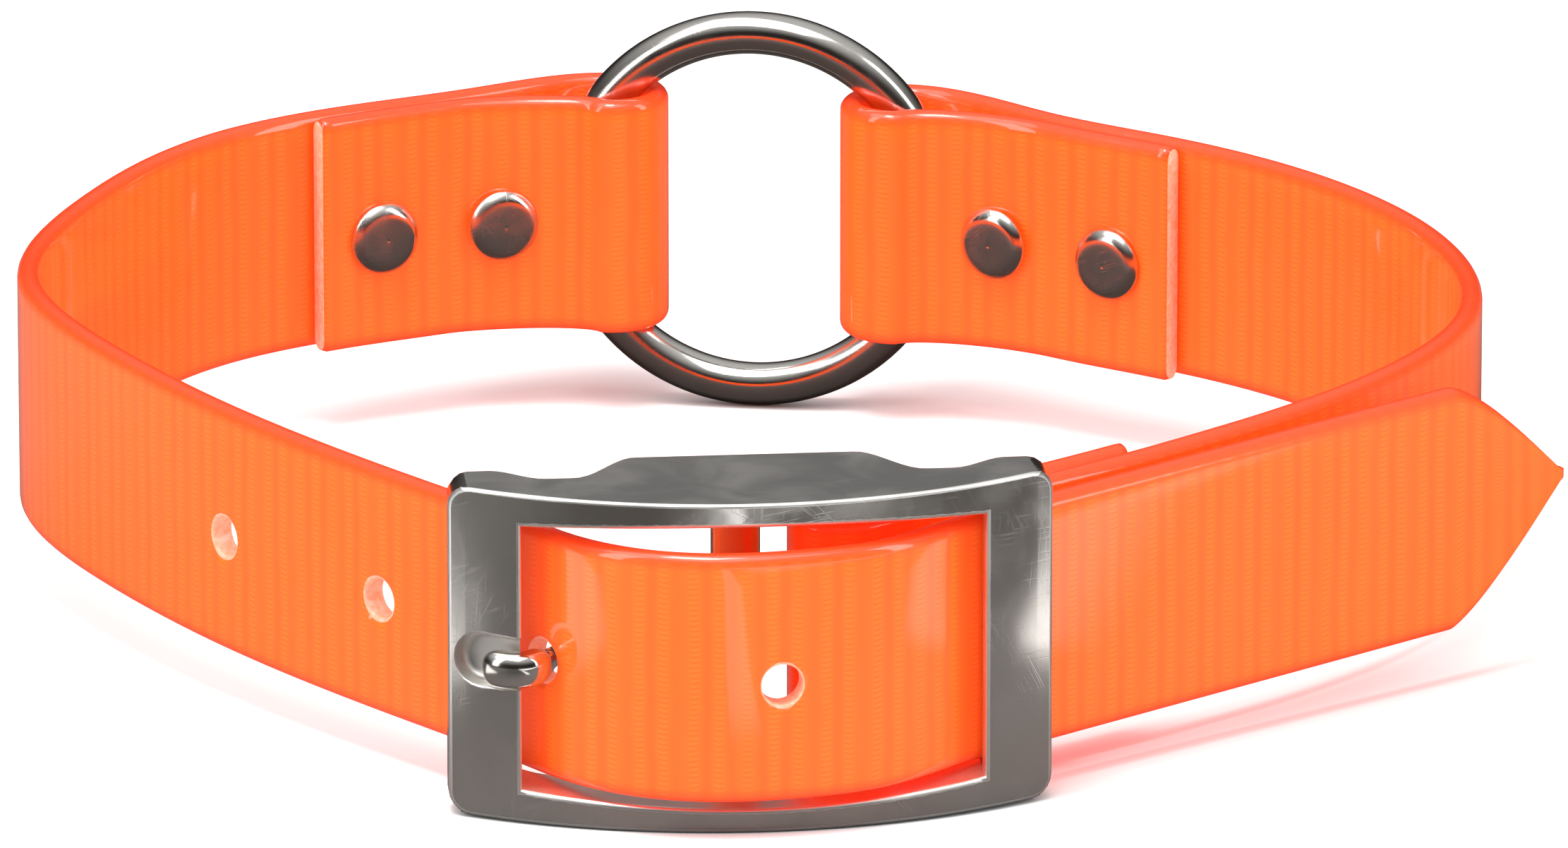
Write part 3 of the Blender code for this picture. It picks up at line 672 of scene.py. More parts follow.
def dimpled(verts, rivets, look):
    """Presses the faces of the layers in round each rivet."""
    for matrix, stack in rivets:
        centre = np.array(matrix.translation)
        axis = np.array(matrix.col[2][:3])
        offset = verts - centre
        depth = offset @ axis
        radius = np.linalg.norm(offset - depth[:, None] * axis, axis=1)
        near = (np.abs(np.abs(depth) - stack / 2) < half_strap / 2) & (radius < 2.5 * look.dimple_radius)
        press = look.dimple_depth * np.exp(-((radius / look.dimple_radius) ** 2)) * near
        verts = verts - np.sign(depth)[:, None] * press[:, None] * axis
    return verts


def rivet_places(path, side, fold, away, first, pitch, fold_radius, taper):
    """Where two rivets sit: (matrix, thickness of the layers between their caps), as the solids do."""
    places = []
    for from_fold in (first, first + pitch):
        apart = layers_apart(from_fold, fold_radius, taper)
        closing = (layers_apart(from_fold - FINE_STEP, fold_radius, taper) - apart) / FINE_STEP
        point, along = place_on(path, fold + away * from_fold)
        inward = side * left_of(along)
        half_way = along - away * inward * closing / 2
        matrix = across_frame(point + inward * apart / 2, half_way, -RIVET_DROP)
        places.append((matrix, apart + STRAP_THICKNESS))
    return places


def all_rivets():
    """The long path, its tongue hole and its rivets; the short path and its rivets."""
    long_path, long_fold, tongue_hole = plan_long_strap()
    short_path, short_fold, bar_fold = plan_short_strap()
    at_ring = (RIVET_FIRST, RIVET_PITCH, ring_fold_radius, FLAP_TAPER)
    at_bar = (BAR_RIVET_FIRST, BAR_RIVET_PITCH, bar_fold_radius, BAR_FLAP_TAPER)
    left = rivet_places(long_path, 1, long_fold, 1, *at_ring)
    right = rivet_places(short_path, -1, short_fold, 1, *at_ring)
    behind = rivet_places(short_path, -1, bar_fold, -1, *at_bar)
    return long_path, tongue_hole, left, short_path, right + behind


def hole_punch(path, length, look, number):
    """A cutter whose mouth flares a little on both faces."""
    flare = look.hole_flare
    radius = HOLE_DIAMETER / 2
    profile = [(0.0, 3 * half_strap), (radius + flare, 3 * half_strap)]
    profile += [(radius + out, half_strap - deep) for out, deep in rim_steps(flare)]
    profile += [(x, -z) for x, z in reversed(profile)]
    point, along = place_on(path, length)
    return lathe(f"hole {number}", profile, HOLE_SIDES, across_frame(point, along, -HOLE_DROP))


def lofted(name, rings):
    """A solid through rings of points with the same count, closed at both ends."""
    points = [point for ring in rings for point in ring]
    return faced_out(new_mesh(name, points, ring_faces(len(rings), len(rings[0]))))


def rim_steps(radius):
    """(out, in) of a quarter round, from the face down into an opening's wall."""
    steps = []
    for a in np.linspace(0.0, math.pi / 2, RIM_STEPS + 1):
        steps.append((radius * (1.0 - math.sin(a)), radius * (1.0 - math.cos(a))))
    return steps


def window_cutter(rim):
    """The buckle's window, its front rim rounded along the curved face."""
    outline = window_outline()
    rings = []
    steps = [(rim, -BUCKLE_PLATE), *rim_steps(rim), (0.0, 3 * bump_depth)]
    for out, deep in steps:
        ring = []
        for x, z in outline:
            wide = x * (1.0 + out / half_window)
            fall = 0.0 if deep < 0.0 or deep > bump_depth else face_depth(wide)
            ring.append((wide, fall + deep, z * (1.0 + out / (window_height / 2))))
        rings.append(ring)
    return lofted("window", rings)


def recess_solid(rim):
    """The tongue's seat, with a rounded rim and a rounded floor."""
    half = RECESS_WIDTH / 2
    floor_start = RECESS_DEPTH - RECESS_FLOOR_ROUND
    outline = np.array(recess_outline())
    out_of = np.array([(min(x + RECESS_LENGTH - half, 0.0), y) for x, y in outline]) / half
    rings = []
    steps = [(rim, RECESS_DEPTH), *[(out, -deep) for out, deep in rim_steps(rim)]]
    for a in np.linspace(0.0, math.pi / 2, RIM_STEPS + 1):
        inward = RECESS_FLOOR_ROUND * (1.0 - math.cos(a))
        steps.append((-inward, -floor_start - RECESS_FLOOR_ROUND * math.sin(a)))
    for out, up in steps:
        ring = outline + out_of * out
        rings.append([(x, y, up) for x, y in ring])
    solid = lofted("tongue recess", rings)
    bar_middle = half_window + BUCKLE_SIDE_BAR / 2
    along = direction(-bar_slope())
    tangent = Vector((along[0], along[1], 0.0))
    up = Vector((0.0, 0.0, 1.0))
    placed = Matrix((tangent, up, tangent.cross(up))).transposed().to_4x4()
    face = Vector((-bar_middle, face_depth(bar_middle), RECESS_LIFT - BUCKLE_LIFT - HOLE_DROP))
    placed.translation = face + tangent * BUCKLE_SIDE_BAR / 2
    solid.matrix_world = placed
    return solid


def slab(name, outline, low, high):
    """A flat outline in plan between two heights."""
    return lofted(name, [[(x, y, low) for x, y in outline], [(x, y, high) for x, y in outline]])


def bar(name, offset):
    """One upright bar between the walls."""
    reach = BUCKLE_HEIGHT / 2 - BUCKLE_EDGE
    profile = [(0.0, reach), (BAR_DIAMETER / 2, reach), (BAR_DIAMETER / 2, -reach), (0.0, -reach)]
    return lathe(name, profile, BAR_SIDES, Matrix.Translation((offset, bar_depth, 0.0)))


def tube(name, points, sizes, sides):
    """A closed bar through points of space; sizes are (half width across the plan, half height)."""
    points = np.array(points)
    tangents = np.gradient(points, axis=0)
    tangents /= np.linalg.norm(tangents, axis=1)[:, None]
    up = np.array((0.0, 0.0, 1.0))
    rings = []
    for point, tangent, (wide, high) in zip(points, tangents, sizes):
        side = np.cross(up, tangent)
        ring = []
        for k in range(sides):
            a = 2.0 * math.pi * k / sides
            c = math.copysign(abs(math.cos(a)) ** TONGUE_SQUARE, math.cos(a))
            s = math.copysign(abs(math.sin(a)) ** TONGUE_SQUARE, math.sin(a))
            ring.append(point + side * c * wide + up * s * high)
        rings.append(ring)
    return lofted(name, rings)


def tongue_run():
    """The tongue's points in the buckle's own plan: eye, arm and tip; and the place of the strap's hole."""
    long_path, _, tongue_hole = plan_long_strap()
    offset = place_on(long_path, tongue_hole)[0] - buckle_point(0.0, 0.0)
    along = direction(BUCKLE_YAW)
    hole = np.array((offset @ along, offset @ left_of(along)))
    pin = np.array((TONGUE_BAR_OFFSET, bar_depth))
    bar_edge = np.array((-half_window, face_depth(half_window)))
    outward = -direction(-bar_slope())
    tip = bar_edge + outward * TONGUE_REACH
    eye = arc(pin, eye_radius, EYE_FIRST, EYE_LAST)
    arm = [pin + share * (hole - pin) + (0.0, bow * TONGUE_WIRE) for share, bow in TONGUE_ARM]
    seat = [hole, bar_edge, (bar_edge + tip) / 2 - (0.0, TONGUE_DIP), tip]
    run = spline([eye[-1], *arm, *seat], (-1.0, 0.0), outward)
    return eye, run, hole


def socket_link(tree, value, socket):
    """Joins an output to an input, or sets a plain value on it."""
    if hasattr(value, "links"):
        tree.links.new(value, socket)
    else:
        socket.default_value = value


def node(tree, kind, place, inputs=None, **settings):
    made = tree.nodes.new(kind)
    made.location = place
    for key, value in settings.items():
        setattr(made, key, value)
    for key, value in (inputs or {}).items():
        socket_link(tree, value, made.inputs[key])
    return made


def maths(tree, operation, place, *values):
    made = node(tree, "ShaderNodeMath", place, operation=operation)
    for i, value in enumerate(values):
        socket_link(tree, value, made.inputs[i])
    return made.outputs[0]


def ramp(tree, value, place, low, high):
    """0 below low and 1 above high, smoothly between."""
    inputs = {"Value": value, "From Min": low, "From Max": high}
    made = node(tree, "ShaderNodeMapRange", place, inputs, interpolation_type="SMOOTHSTEP")
    return made.outputs["Result"]


def mixed(tree, factor, first, second, place):
    made = node(tree, "ShaderNodeMix", place, data_type="RGBA")
    socket_link(tree, factor, made.inputs[0])
    socket_link(tree, first, made.inputs[6])
    socket_link(tree, second, made.inputs[7])
    return made.outputs[2]


def noise(tree, vector, place, scale, detail, **more):
    inputs = {"Vector": vector, "Scale": scale, "Detail": detail, **more}
    return node(tree, "ShaderNodeTexNoise", place, inputs).outputs[0]


def new_group(name, inputs, outputs):
    """An empty shader group with its sockets; returns (tree, input node, output node)."""
    tree = bpy.data.node_groups.new(name, "ShaderNodeTree")
    for label, kind, default in inputs:
        socket = tree.interface.new_socket(label, in_out="INPUT", socket_type=kind)
        if default is not None:
            socket.default_value = default
    for label, kind in outputs:
        tree.interface.new_socket(label, in_out="OUTPUT", socket_type=kind)
    return tree, node(tree, "NodeGroupInput", (-900, 0)), node(tree, "NodeGroupOutput", (900, 0))


def webbing_group():
    """Ribs across the strap with rows of fine yarn between them, read from the strap's own UV map."""
    tree, given, out = new_group(
        "webbing weave",
        [
            ("Place", "NodeSocketVector", None),
            ("Rib Pitch", "NodeSocketFloat", 2.6 * MM),
            ("Yarn Pitch", "NodeSocketFloat", 0.55 * MM),
        ],
        [("Rib", "NodeSocketFloat"), ("Yarn", "NodeSocketFloat"), ("Cloud", "NodeSocketFloat")],
    )
    parts = node(tree, "ShaderNodeSeparateXYZ", (-700, 0), {0: given.outputs["Place"]})
    wander = noise(tree, given.outputs["Place"], (-700, -250), 90.0, 2.0)
    shift = maths(tree, "MULTIPLY", (-500, -250), wander, 0.9 * MM)
    along = maths(tree, "ADD", (-500, 0), parts.outputs[0], shift)
    turns = maths(tree, "DIVIDE", (-350, 0), along, given.outputs["Rib Pitch"])
    rib = maths(tree, "SINE", (-50, 0), maths(tree, "MULTIPLY", (-200, 0), turns, 2.0 * math.pi))
    second = maths(tree, "SINE", (-50, -150), maths(tree, "MULTIPLY", (-200, -150), turns, 9.0))
    whole = maths(tree, "MULTIPLY_ADD", (100, 0), second, 0.35, rib)
    rows = maths(tree, "DIVIDE", (-350, 200), parts.outputs[1], given.outputs["Yarn Pitch"])
    lean = maths(tree, "MULTIPLY", (-200, 350), rib, 1.6)
    step = maths(tree, "MULTIPLY_ADD", (-200, 200), rows, 2.0 * math.pi, lean)
    yarn = maths(tree, "SINE", (-50, 200), step)
    between = ramp(tree, whole, (250, 100), 0.1, 0.9)
    feed(
        tree,
        out,
        {
            "Rib": maths(tree, "MULTIPLY_ADD", (450, 0), whole, 0.26, 0.5),
            "Yarn": maths(tree, "MULTIPLY", (450, 200), yarn, between),
            "Cloud": noise(tree, given.outputs["Place"], (250, -300), 45.0, 3.0),
        },
    )


def scratch_group():
    """Short fine scratches in four directions, in patches, soft smudges and a fine grain."""
    tree, given, out = new_group(
        "scratches",
        [("Place", "NodeSocketVector", None), ("Scale", "NodeSocketFloat", 1.0)],
        [("Scratches", "NodeSocketFloat"), ("Smudge", "NodeSocketFloat"), ("Grain", "NodeSocketFloat")],
    )
    scaled = node(
        tree, "ShaderNodeVectorMath", (-750, 0), {0: given.outputs["Place"], 3: given.outputs["Scale"]},
        operation="SCALE",
    ).outputs[0]
    total = None
    for i, turn in enumerate(((0.3, 0.5, 0.2), (1.2, 0.2, 1.0), (0.1, 1.3, 2.1), (0.7, 0.9, 0.4))):
        laid = node(
            tree, "ShaderNodeMapping", (-550, 300 - 200 * i),
            {"Vector": scaled, "Rotation": turn, "Scale": (1.0 / 170.0, 1.0 / 5200.0, 1.0 / 170.0)},
            vector_type="TEXTURE",
        )
        lines = noise(tree, laid.outputs[0], (-350, 300 - 200 * i), 1.0, 1.0)
        mark = ramp(tree, lines, (-150, 300 - 200 * i), 0.62, 0.70)
        total = mark if total is None else maths(tree, "MAXIMUM", (50, 300 - 200 * i), total, mark)
    patches = noise(tree, scaled, (-350, -600), 210.0, 3.0)
    where = ramp(tree, patches, (-150, -600), 0.36, 0.74)
    smudge = noise(tree, scaled, (-350, -800), 120.0, 5.0, Distortion=0.6)
    feed(
        tree,
        out,
        {
            "Scratches": maths(tree, "MULTIPLY", (300, 0), total, where),
            "Smudge": ramp(tree, smudge, (-150, -800), 0.35, 0.75),
            "Grain": noise(tree, scaled, (-350, -1000), 2600.0, 2.0),
        },
    )


def feed(tree, made, inputs):
    """Links or sets each named input of a node."""
    for key, value in inputs.items():
        socket_link(tree, value, made.inputs[key])
    return made


def group_node(tree, name, place, inputs):
    made = node(tree, "ShaderNodeGroup", place, node_tree=bpy.data.node_groups[name])
    return feed(tree, made, inputs)


def bumped(tree, height, place, strength, distance):
    inputs = {"Height": height, "Strength": strength, "Distance": distance}
    return node(tree, "ShaderNodeBump", place, inputs).outputs[0]


def blank_material(name):
    """A new material; returns its tree and its Principled shader."""
    material = bpy.data.materials.new(name)
    material.use_nodes = True
    tree = material.node_tree
    return tree, tree.nodes["Principled BSDF"]


def webbing_material(look):
    """Fluorescent woven core under a clear glossy coat; the webbing glows with painted light, emission standing
    in for its fluorescence; the rounded edges are painted darker and redder, as painted shade.
    """
    tree, shader = blank_material("coated webbing")
    uv = node(tree, "ShaderNodeUVMap", (-1400, 0), uv_map="along").outputs[0]
    weave = group_node(
        tree, "webbing weave", (-1100, 0),
        {"Place": uv, "Rib Pitch": look.rib_pitch, "Yarn Pitch": look.yarn_pitch},
    )
    up = node(tree, "ShaderNodeSeparateXYZ", (-1100, -300), {0: uv}).outputs[1]
    up = maths(tree, "ABSOLUTE", (-900, -300), up)
    # painted shade: the rounded edges are painted darker and redder
    edge = ramp(tree, up, (-700, -300), STRAP_WIDTH / 2 - 1.9 * MM, STRAP_WIDTH / 2)
    tone = maths(tree, "MULTIPLY_ADD", (-900, 0), weave.outputs["Yarn"], 0.5, weave.outputs["Rib"])
    colour = mixed(tree, tone, tuple(look.shade), tuple(look.colour), (-650, 100))
    pale = maths(tree, "MULTIPLY", (-650, 300), weave.outputs["Cloud"], 0.25)
    colour = mixed(tree, pale, colour, tuple(look.pale), (-450, 150))
    colour = mixed(tree, edge, colour, tuple(look.edge), (-250, 100))
    height = maths(tree, "MULTIPLY_ADD", (-650, -550), weave.outputs["Yarn"], 0.4, weave.outputs["Rib"])
    feed(
        tree,
        shader,
        {
            "Base Color": colour,
            # the webbing glows with painted light: emission in the edge colour lifts its shade, standing in for
            # fluorescence
            "Emission Color": tuple(look.edge),
            "Emission Strength": look.painted_glow,
            "Roughness": maths(tree, "MULTIPLY_ADD", (-450, -150), weave.outputs["Cloud"], 0.2, 0.32),
            "Normal": bumped(tree, height, (-250, -450), 0.6, 0.05 * MM),
            "Coat Weight": 1.0,
            "Coat Roughness": look.gloss,
            "Coat IOR": 1.5,
            "Specular IOR Level": 0.2,
            "Subsurface Weight": 0.12,
            "Subsurface Radius": (1.0, 0.25, 0.05),
            "Subsurface Scale": 1.2 * MM,
        },
    )


def cut_material(look):
    """The cut ends and hole walls, where pale core fibres show."""
    tree, shader = blank_material("cut webbing")
    place = node(tree, "ShaderNodeTexCoord", (-900, 0)).outputs["Object"]
    fibres = noise(tree, place, (-700, 0), 1800.0, 3.0)
    colour = mixed(tree, fibres, tuple(look.colour), tuple(look.cut), (-400, 100))
    feed(
        tree,
        shader,
        {
            "Base Color": colour,
            # painted light: the cut ends and hole walls glow with the same emission
            "Emission Color": colour,
            "Emission Strength": look.painted_glow,
            "Roughness": maths(tree, "MULTIPLY_ADD", (-400, -150), fibres, 0.3, 0.35),
            "Normal": bumped(tree, fibres, (-300, -400), 0.5, 0.08 * MM),
            "Coat Weight": 0.4,
        },
    )


def metal_material(name, look, polish, level_matt_and_shade, scratch, scale=1.0, tone=None):
    """Nickel with smudges and fine scratches; with the level-face share at 1, level faces are a rougher matt
    cast finish and painted darker, as painted shade.
    """
    tree, shader = blank_material(name)
    coordinates = node(tree, "ShaderNodeTexCoord", (-1400, 0))
    marks = group_node(
        tree, "scratches", (-1150, 0), {"Place": coordinates.outputs["Object"], "Scale": scale}
    )
    up = node(tree, "ShaderNodeSeparateXYZ", (-1150, -350), {0: coordinates.outputs["Normal"]}).outputs[2]
    # level faces: a rougher matt cast finish, and painted darker as painted shade
    flat = ramp(tree, maths(tree, "ABSOLUTE", (-950, -350), up), (-750, -350), 0.985, 0.998)
    matt = maths(tree, "MULTIPLY", (-550, -350), flat, level_matt_and_shade)
    smudged = maths(tree, "MULTIPLY", (-900, 200), marks.outputs["Smudge"], 0.5)
    colour = mixed(tree, smudged, tuple(tone or look.nickel), tuple(tone or look.dull), (-600, 200))
    scored = maths(tree, "MULTIPLY", (-900, 50), marks.outputs["Scratches"], scratch)
    colour = mixed(tree, scored, colour, tuple(look.bright), (-400, 200))
    # painted shade: level faces painted darker
    colour = mixed(tree, matt, colour, tuple(look.matt_cast_and_shade), (-200, 200))
    rough = maths(tree, "MULTIPLY_ADD", (-700, -50), marks.outputs["Smudge"], 0.16, polish)
    rough = maths(tree, "MULTIPLY_ADD", (-500, -50), scored, 0.25, rough)
    rough = maths(tree, "MULTIPLY_ADD", (-300, -50), matt, 0.36, rough)
    grain = maths(tree, "MULTIPLY", (-550, -550), marks.outputs["Grain"], matt)
    height = maths(tree, "SUBTRACT", (-400, -550), maths(tree, "MULTIPLY", (-550, -700), grain, 0.6), scored)
    normal = bumped(tree, height, (-200, -500), 0.5, 0.03 * MM)
    feed(tree, shader, {"Base Color": colour, "Metallic": 1.0, "Roughness": rough, "Normal": normal})


def floor_material(look):
    """Pale floor, which the metal and the coat mirror as if dark cards lay on it, with pale patches in them:
    painted reflections that only glossy rays see.
    """
    tree, shader = blank_material("pale floor")
    shader.inputs["Roughness"].default_value = 0.9
    place = node(tree, "ShaderNodeTexCoord", (-1200, 0)).outputs["Object"]
    cloud = noise(tree, place, (-1000, 0), 7.0, 0.0)
    dim = ramp(tree, cloud, (-800, 0), 0.40, 0.72)
    parts = node(tree, "ShaderNodeSeparateXYZ", (-1000, -300), {0: place})
    across, back = parts.outputs[0], parts.outputs[1]
    # painted reflections: pale patches beside, ahead of and outside the collar, mirrored in its gloss
    beside = ramp(tree, across, (-800, -500), 15.0 * MM, 40.0 * MM)
    in_front = ramp(tree, back, (-800, -650), -180.0 * MM, -215.0 * MM)
    far_card = maths(tree, "MULTIPLY", (-600, -550), beside, in_front)
    outside = ramp(tree, maths(tree, "ABSOLUTE", (-900, -800), across), (-800, -800), 62.0 * MM, 74.0 * MM)
    turned = maths(tree, "MULTIPLY_ADD", (-900, -950), across, -0.12, back)
    level = ramp(tree, turned, (-800, -950), -104.0 * MM, -92.0 * MM)
    beyond = ramp(tree, back, (-800, -1100), -62.0 * MM, -74.0 * MM)
    level = maths(tree, "MULTIPLY", (-700, -1000), level, beyond)
    side_card = maths(tree, "MULTIPLY", (-600, -850), outside, level)
    far_card = maths(tree, "MAXIMUM", (-500, -650), far_card, side_card)
    # painted highlight: a pale strip ahead of the buckle, mirrored down the strap and the buckle's face
    from_middle = maths(tree, "SUBTRACT", (-900, -300), across, 2.0 * MM)
    from_middle = maths(tree, "ABSOLUTE", (-800, -300), from_middle)
    slit = ramp(tree, from_middle, (-600, -300), 5.5 * MM, 4.5 * MM)
    ahead = ramp(tree, back, (-600, -400), -104.0 * MM, -122.0 * MM)
    slit = maths(tree, "MULTIPLY", (-500, -350), slit, ahead)
    cards = maths(tree, "MAXIMUM", (-500, -200), slit, far_card)
    light = maths(tree, "MAXIMUM", (-400, -100), maths(tree, "MULTIPLY", (-600, 0), dim, 0.10), cards)
    card = mixed(tree, light, tuple(look.card_colour), tuple(look.floor_colour), (-200, -100))
    mirrored = node(tree, "ShaderNodeLightPath", (-400, 300)).outputs["Is Glossy Ray"]
    feed(tree, shader, {"Base Color": mixed(tree, mirrored, tuple(look.floor_colour), card, (0, 100))})


def studio_world(look):
    """Even light from all round, mirrored as a dim room that is brighter overhead."""
    world = bpy.data.worlds.new("studio")
    world.use_nodes = True
    tree = world.node_tree
    background = tree.nodes["Background"]
    view = node(tree, "ShaderNodeTexCoord", (-1000, 0)).outputs["Generated"]
    up = node(tree, "ShaderNodeSeparateXYZ", (-800, 0), {0: view}).outputs[2]
    overhead = ramp(tree, up, (-600, 0), 0.25, 0.95)
    room = mixed(tree, overhead, tuple(look.card_colour), (0.9, 0.9, 0.9, 1.0), (-400, 0))
    mirrored = node(tree, "ShaderNodeLightPath", (-600, 300)).outputs["Is Glossy Ray"]
    tree.links.new(mixed(tree, mirrored, (1.0, 1.0, 1.0, 1.0), room, (-200, 0)), background.inputs["Color"])
    background.inputs["Strength"].default_value = look.world
    return world


def rivet_tree():
    """Caps and posts on points: a turned cap copied to each cap point, a post to each rivet's middle."""
    tree = bpy.data.node_groups.new("rivets on points", "GeometryNodeTree")
    for label, kind in (
        ("Points", "NodeSocketGeometry"),
        ("Cap", "NodeSocketObject"),
        ("Post Radius", "NodeSocketFloat"),
        ("Metal", "NodeSocketMaterial"),
    ):
        tree.interface.new_socket(label, in_out="INPUT", socket_type=kind)
    tree.interface.new_socket("Rivets", in_out="OUTPUT", socket_type="NodeSocketGeometry")
    given = node(tree, "NodeGroupInput", (-900, 0))
    out = node(tree, "NodeGroupOutput", (900, 0))
    cap = node(
        tree, "GeometryNodeObjectInfo", (-600, 200), {"Object": given.outputs["Cap"]}
    ).outputs["Geometry"]
    post = node(
        tree, "GeometryNodeMeshCylinder", (-600, -200),
        {"Vertices": POST_SIDES, "Radius": given.outputs["Post Radius"], "Depth": 1.0},
    ).outputs["Mesh"]
    facing = node(
        tree, "GeometryNodeInputNamedAttribute", (-600, 0), {"Name": "facing"}, data_type="FLOAT_VECTOR"
    ).outputs[0]
    length = node(
        tree, "GeometryNodeInputNamedAttribute", (-600, -450), {"Name": "length"}, data_type="FLOAT"
    ).outputs[0]
    turn = node(tree, "FunctionNodeEulerToRotation", (-400, 0), {0: facing}).outputs[0]
    is_post = node(
        tree, "FunctionNodeCompare", (-400, -350), {"A": length, "B": 0.0}, operation="GREATER_THAN"
    ).outputs[0]
    is_cap = node(tree, "FunctionNodeBooleanMath", (-200, -350), {0: is_post}, operation="NOT").outputs[0]
    tall = node(tree, "ShaderNodeCombineXYZ", (-200, -500), {0: 1.0, 1: 1.0, 2: length}).outputs[0]
    caps = node(
        tree, "GeometryNodeInstanceOnPoints", (0, 200),
        {"Points": given.outputs["Points"], "Selection": is_cap, "Instance": cap, "Rotation": turn},
    ).outputs[0]
    posts = node(
        tree, "GeometryNodeInstanceOnPoints", (0, -200),
        {
            "Points": given.outputs["Points"],
            "Selection": is_post,
            "Instance": post,
            "Rotation": turn,
            "Scale": tall,
        },
    ).outputs[0]
    both = node(tree, "GeometryNodeJoinGeometry", (250, 0))
    tree.links.new(caps, both.inputs[0])
    tree.links.new(posts, both.inputs[0])
    real = node(tree, "GeometryNodeRealizeInstances", (450, 0), {0: both.outputs[0]}).outputs[0]
    metal = node(
        tree, "GeometryNodeSetMaterial", (650, 0), {"Geometry": real, "Material": given.outputs["Metal"]}
    ).outputs[0]
    tree.links.new(metal, out.inputs[0])
    return tree


def length_of(name, description, default):
    return FloatProperty(name=name, description=description, default=default, unit="LENGTH")


def power_of(name, description, default):
    return FloatProperty(name=name, description=description, default=default, min=0.0, unit="POWER")


def colour_of(name, description, *default):
    return FloatVectorProperty(
        name=name, description=description, size=4, subtype="COLOR", default=(*default, 1.0)
    )


class CollarStrapLook(bpy.types.PropertyGroup):
    """How the webbing looks."""

    step: length_of("Step", "Length of one facet along a strap", 0.65 * MM)
    rib_pitch: length_of("Rib pitch", "From one cross rib to the next", 2.6 * MM)
    rib_depth: length_of("Rib depth", "Height of the ribs that press through the coat", 0.012 * MM)
    yarn_pitch: length_of("Yarn pitch", "From one yarn row to the next", 0.55 * MM)
    end_round: length_of("End round", "Softness of a cut end's corners", 0.25 * MM)
    hole_flare: length_of("Hole flare", "How far a punched hole's rim rolls over", 0.35 * MM)
    dimple_depth: length_of("Dimple depth", "How far a rivet presses the layers in", 0.22 * MM)
    dimple_radius: length_of("Dimple radius", "Reach of that dimple", 5.2 * MM)
    gloss: FloatProperty(
        name="Gloss", description="Roughness of the clear coat", default=0.07, min=0.0, max=1.0
    )
    # painted light: emission that lifts the webbing's shade, standing in for its fluorescence
    painted_glow: FloatProperty(
        name="Glow", description="Light that the fluorescent colour adds", default=0.32, min=0.0
    )
    colour: colour_of("Colour", "The webbing's main colour", 1.0, 0.155, 0.012)
    shade: colour_of("Shade", "Colour between the ribs", 1.0, 0.095, 0.006)
    pale: colour_of("Pale", "Colour where the coat clouds", 1.0, 0.20, 0.03)
    # painted shade: colour of the rounded edges; it also colours the emitted painted light
    edge: colour_of("Edge", "Colour of the rounded edges", 1.0, 0.050, 0.007)
    cut: colour_of("Cut", "Colour of cut fibres", 1.0, 0.50, 0.40)


class CollarMetalLook(bpy.types.PropertyGroup):
    """How the nickel looks."""

    rim: length_of("Rim", "Rounding of the window's and the recess's rims", 0.5 * MM)
    edge: length_of("Edge", "Rounding of the buckle's outer edges", 0.4 * MM)
    cap_dot: length_of("Cap dot", "Depth of the small dot in a rivet cap's middle", 0.04 * MM)
    sides: IntProperty(name="Sides", description="Facets round the ring's wire", default=40, min=12)
    nickel: colour_of("Nickel", "Polished colour", 0.66, 0.64, 0.60)
    dull: colour_of("Dull", "Colour of smudged metal", 0.46, 0.44, 0.41)
    # scratches show paler metal, a real mark; the same colour is the rim material's tone, a painted highlight
    bright: colour_of("Bright", "Colour in a scratch", 0.88, 0.86, 0.82)
    # painted shade: colour of the level faces, which are also rougher as a matt cast finish
    matt_cast_and_shade: colour_of("Casting", "Colour of the matt cast faces", 0.27, 0.26, 0.25)


class CollarStageLook(bpy.types.PropertyGroup):
    """The floor and the light."""

    floor_colour: colour_of("Floor", "Colour of the floor", 0.90, 0.90, 0.90)
    card_colour: colour_of("Card", "What gloss mirrors of the floor and of the room", 0.036, 0.031, 0.028)
    key: power_of("Key", "Power of the large light above", 13.0)
    sparkle: power_of("Sparkle", "Power of the small light that edges catch", 6.0)
    side: power_of("Side", "Power of each tall side light", 7.0)
    world: FloatProperty(
        name="World", description="Strength of the light from all round", default=0.75, min=0.0
    )
    elevation: FloatProperty(
        name="Elevation",
        description="Camera's angle above the straps' plan",
        default=math.radians(18.09),
        subtype="ANGLE",
    )
    distance: length_of("Distance", "From the camera to its target", 2.0)


class COLLAR_OT_materials(bpy.types.Operator):
    """Makes the materials of the webbing and of the metal"""

    bl_idname = "collar.materials"
    bl_label = "Materials"

    def execute(self, context):
        webbing_group()
        scratch_group()
        straps, metal = context.scene.collar_straps, context.scene.collar_metal
        webbing_material(straps)
        cut_material(straps)
        # the frame's level faces are rougher and painted darker, as painted shade
        metal_material("cast nickel", metal, 0.12, 1.0, 0.2)
        # painted highlight: a pale, rougher nickel on the bevels, the rims and the walls of window and recess
        metal_material("rim nickel", metal, 0.34, 0.0, 0.1, 1.0, metal.bright)
        metal_material("ring nickel", metal, 0.10, 0.0, 0.12)
        metal_material("rivet nickel", metal, 0.16, 0.0, 0.25, 1.6)
        return {"FINISHED"}


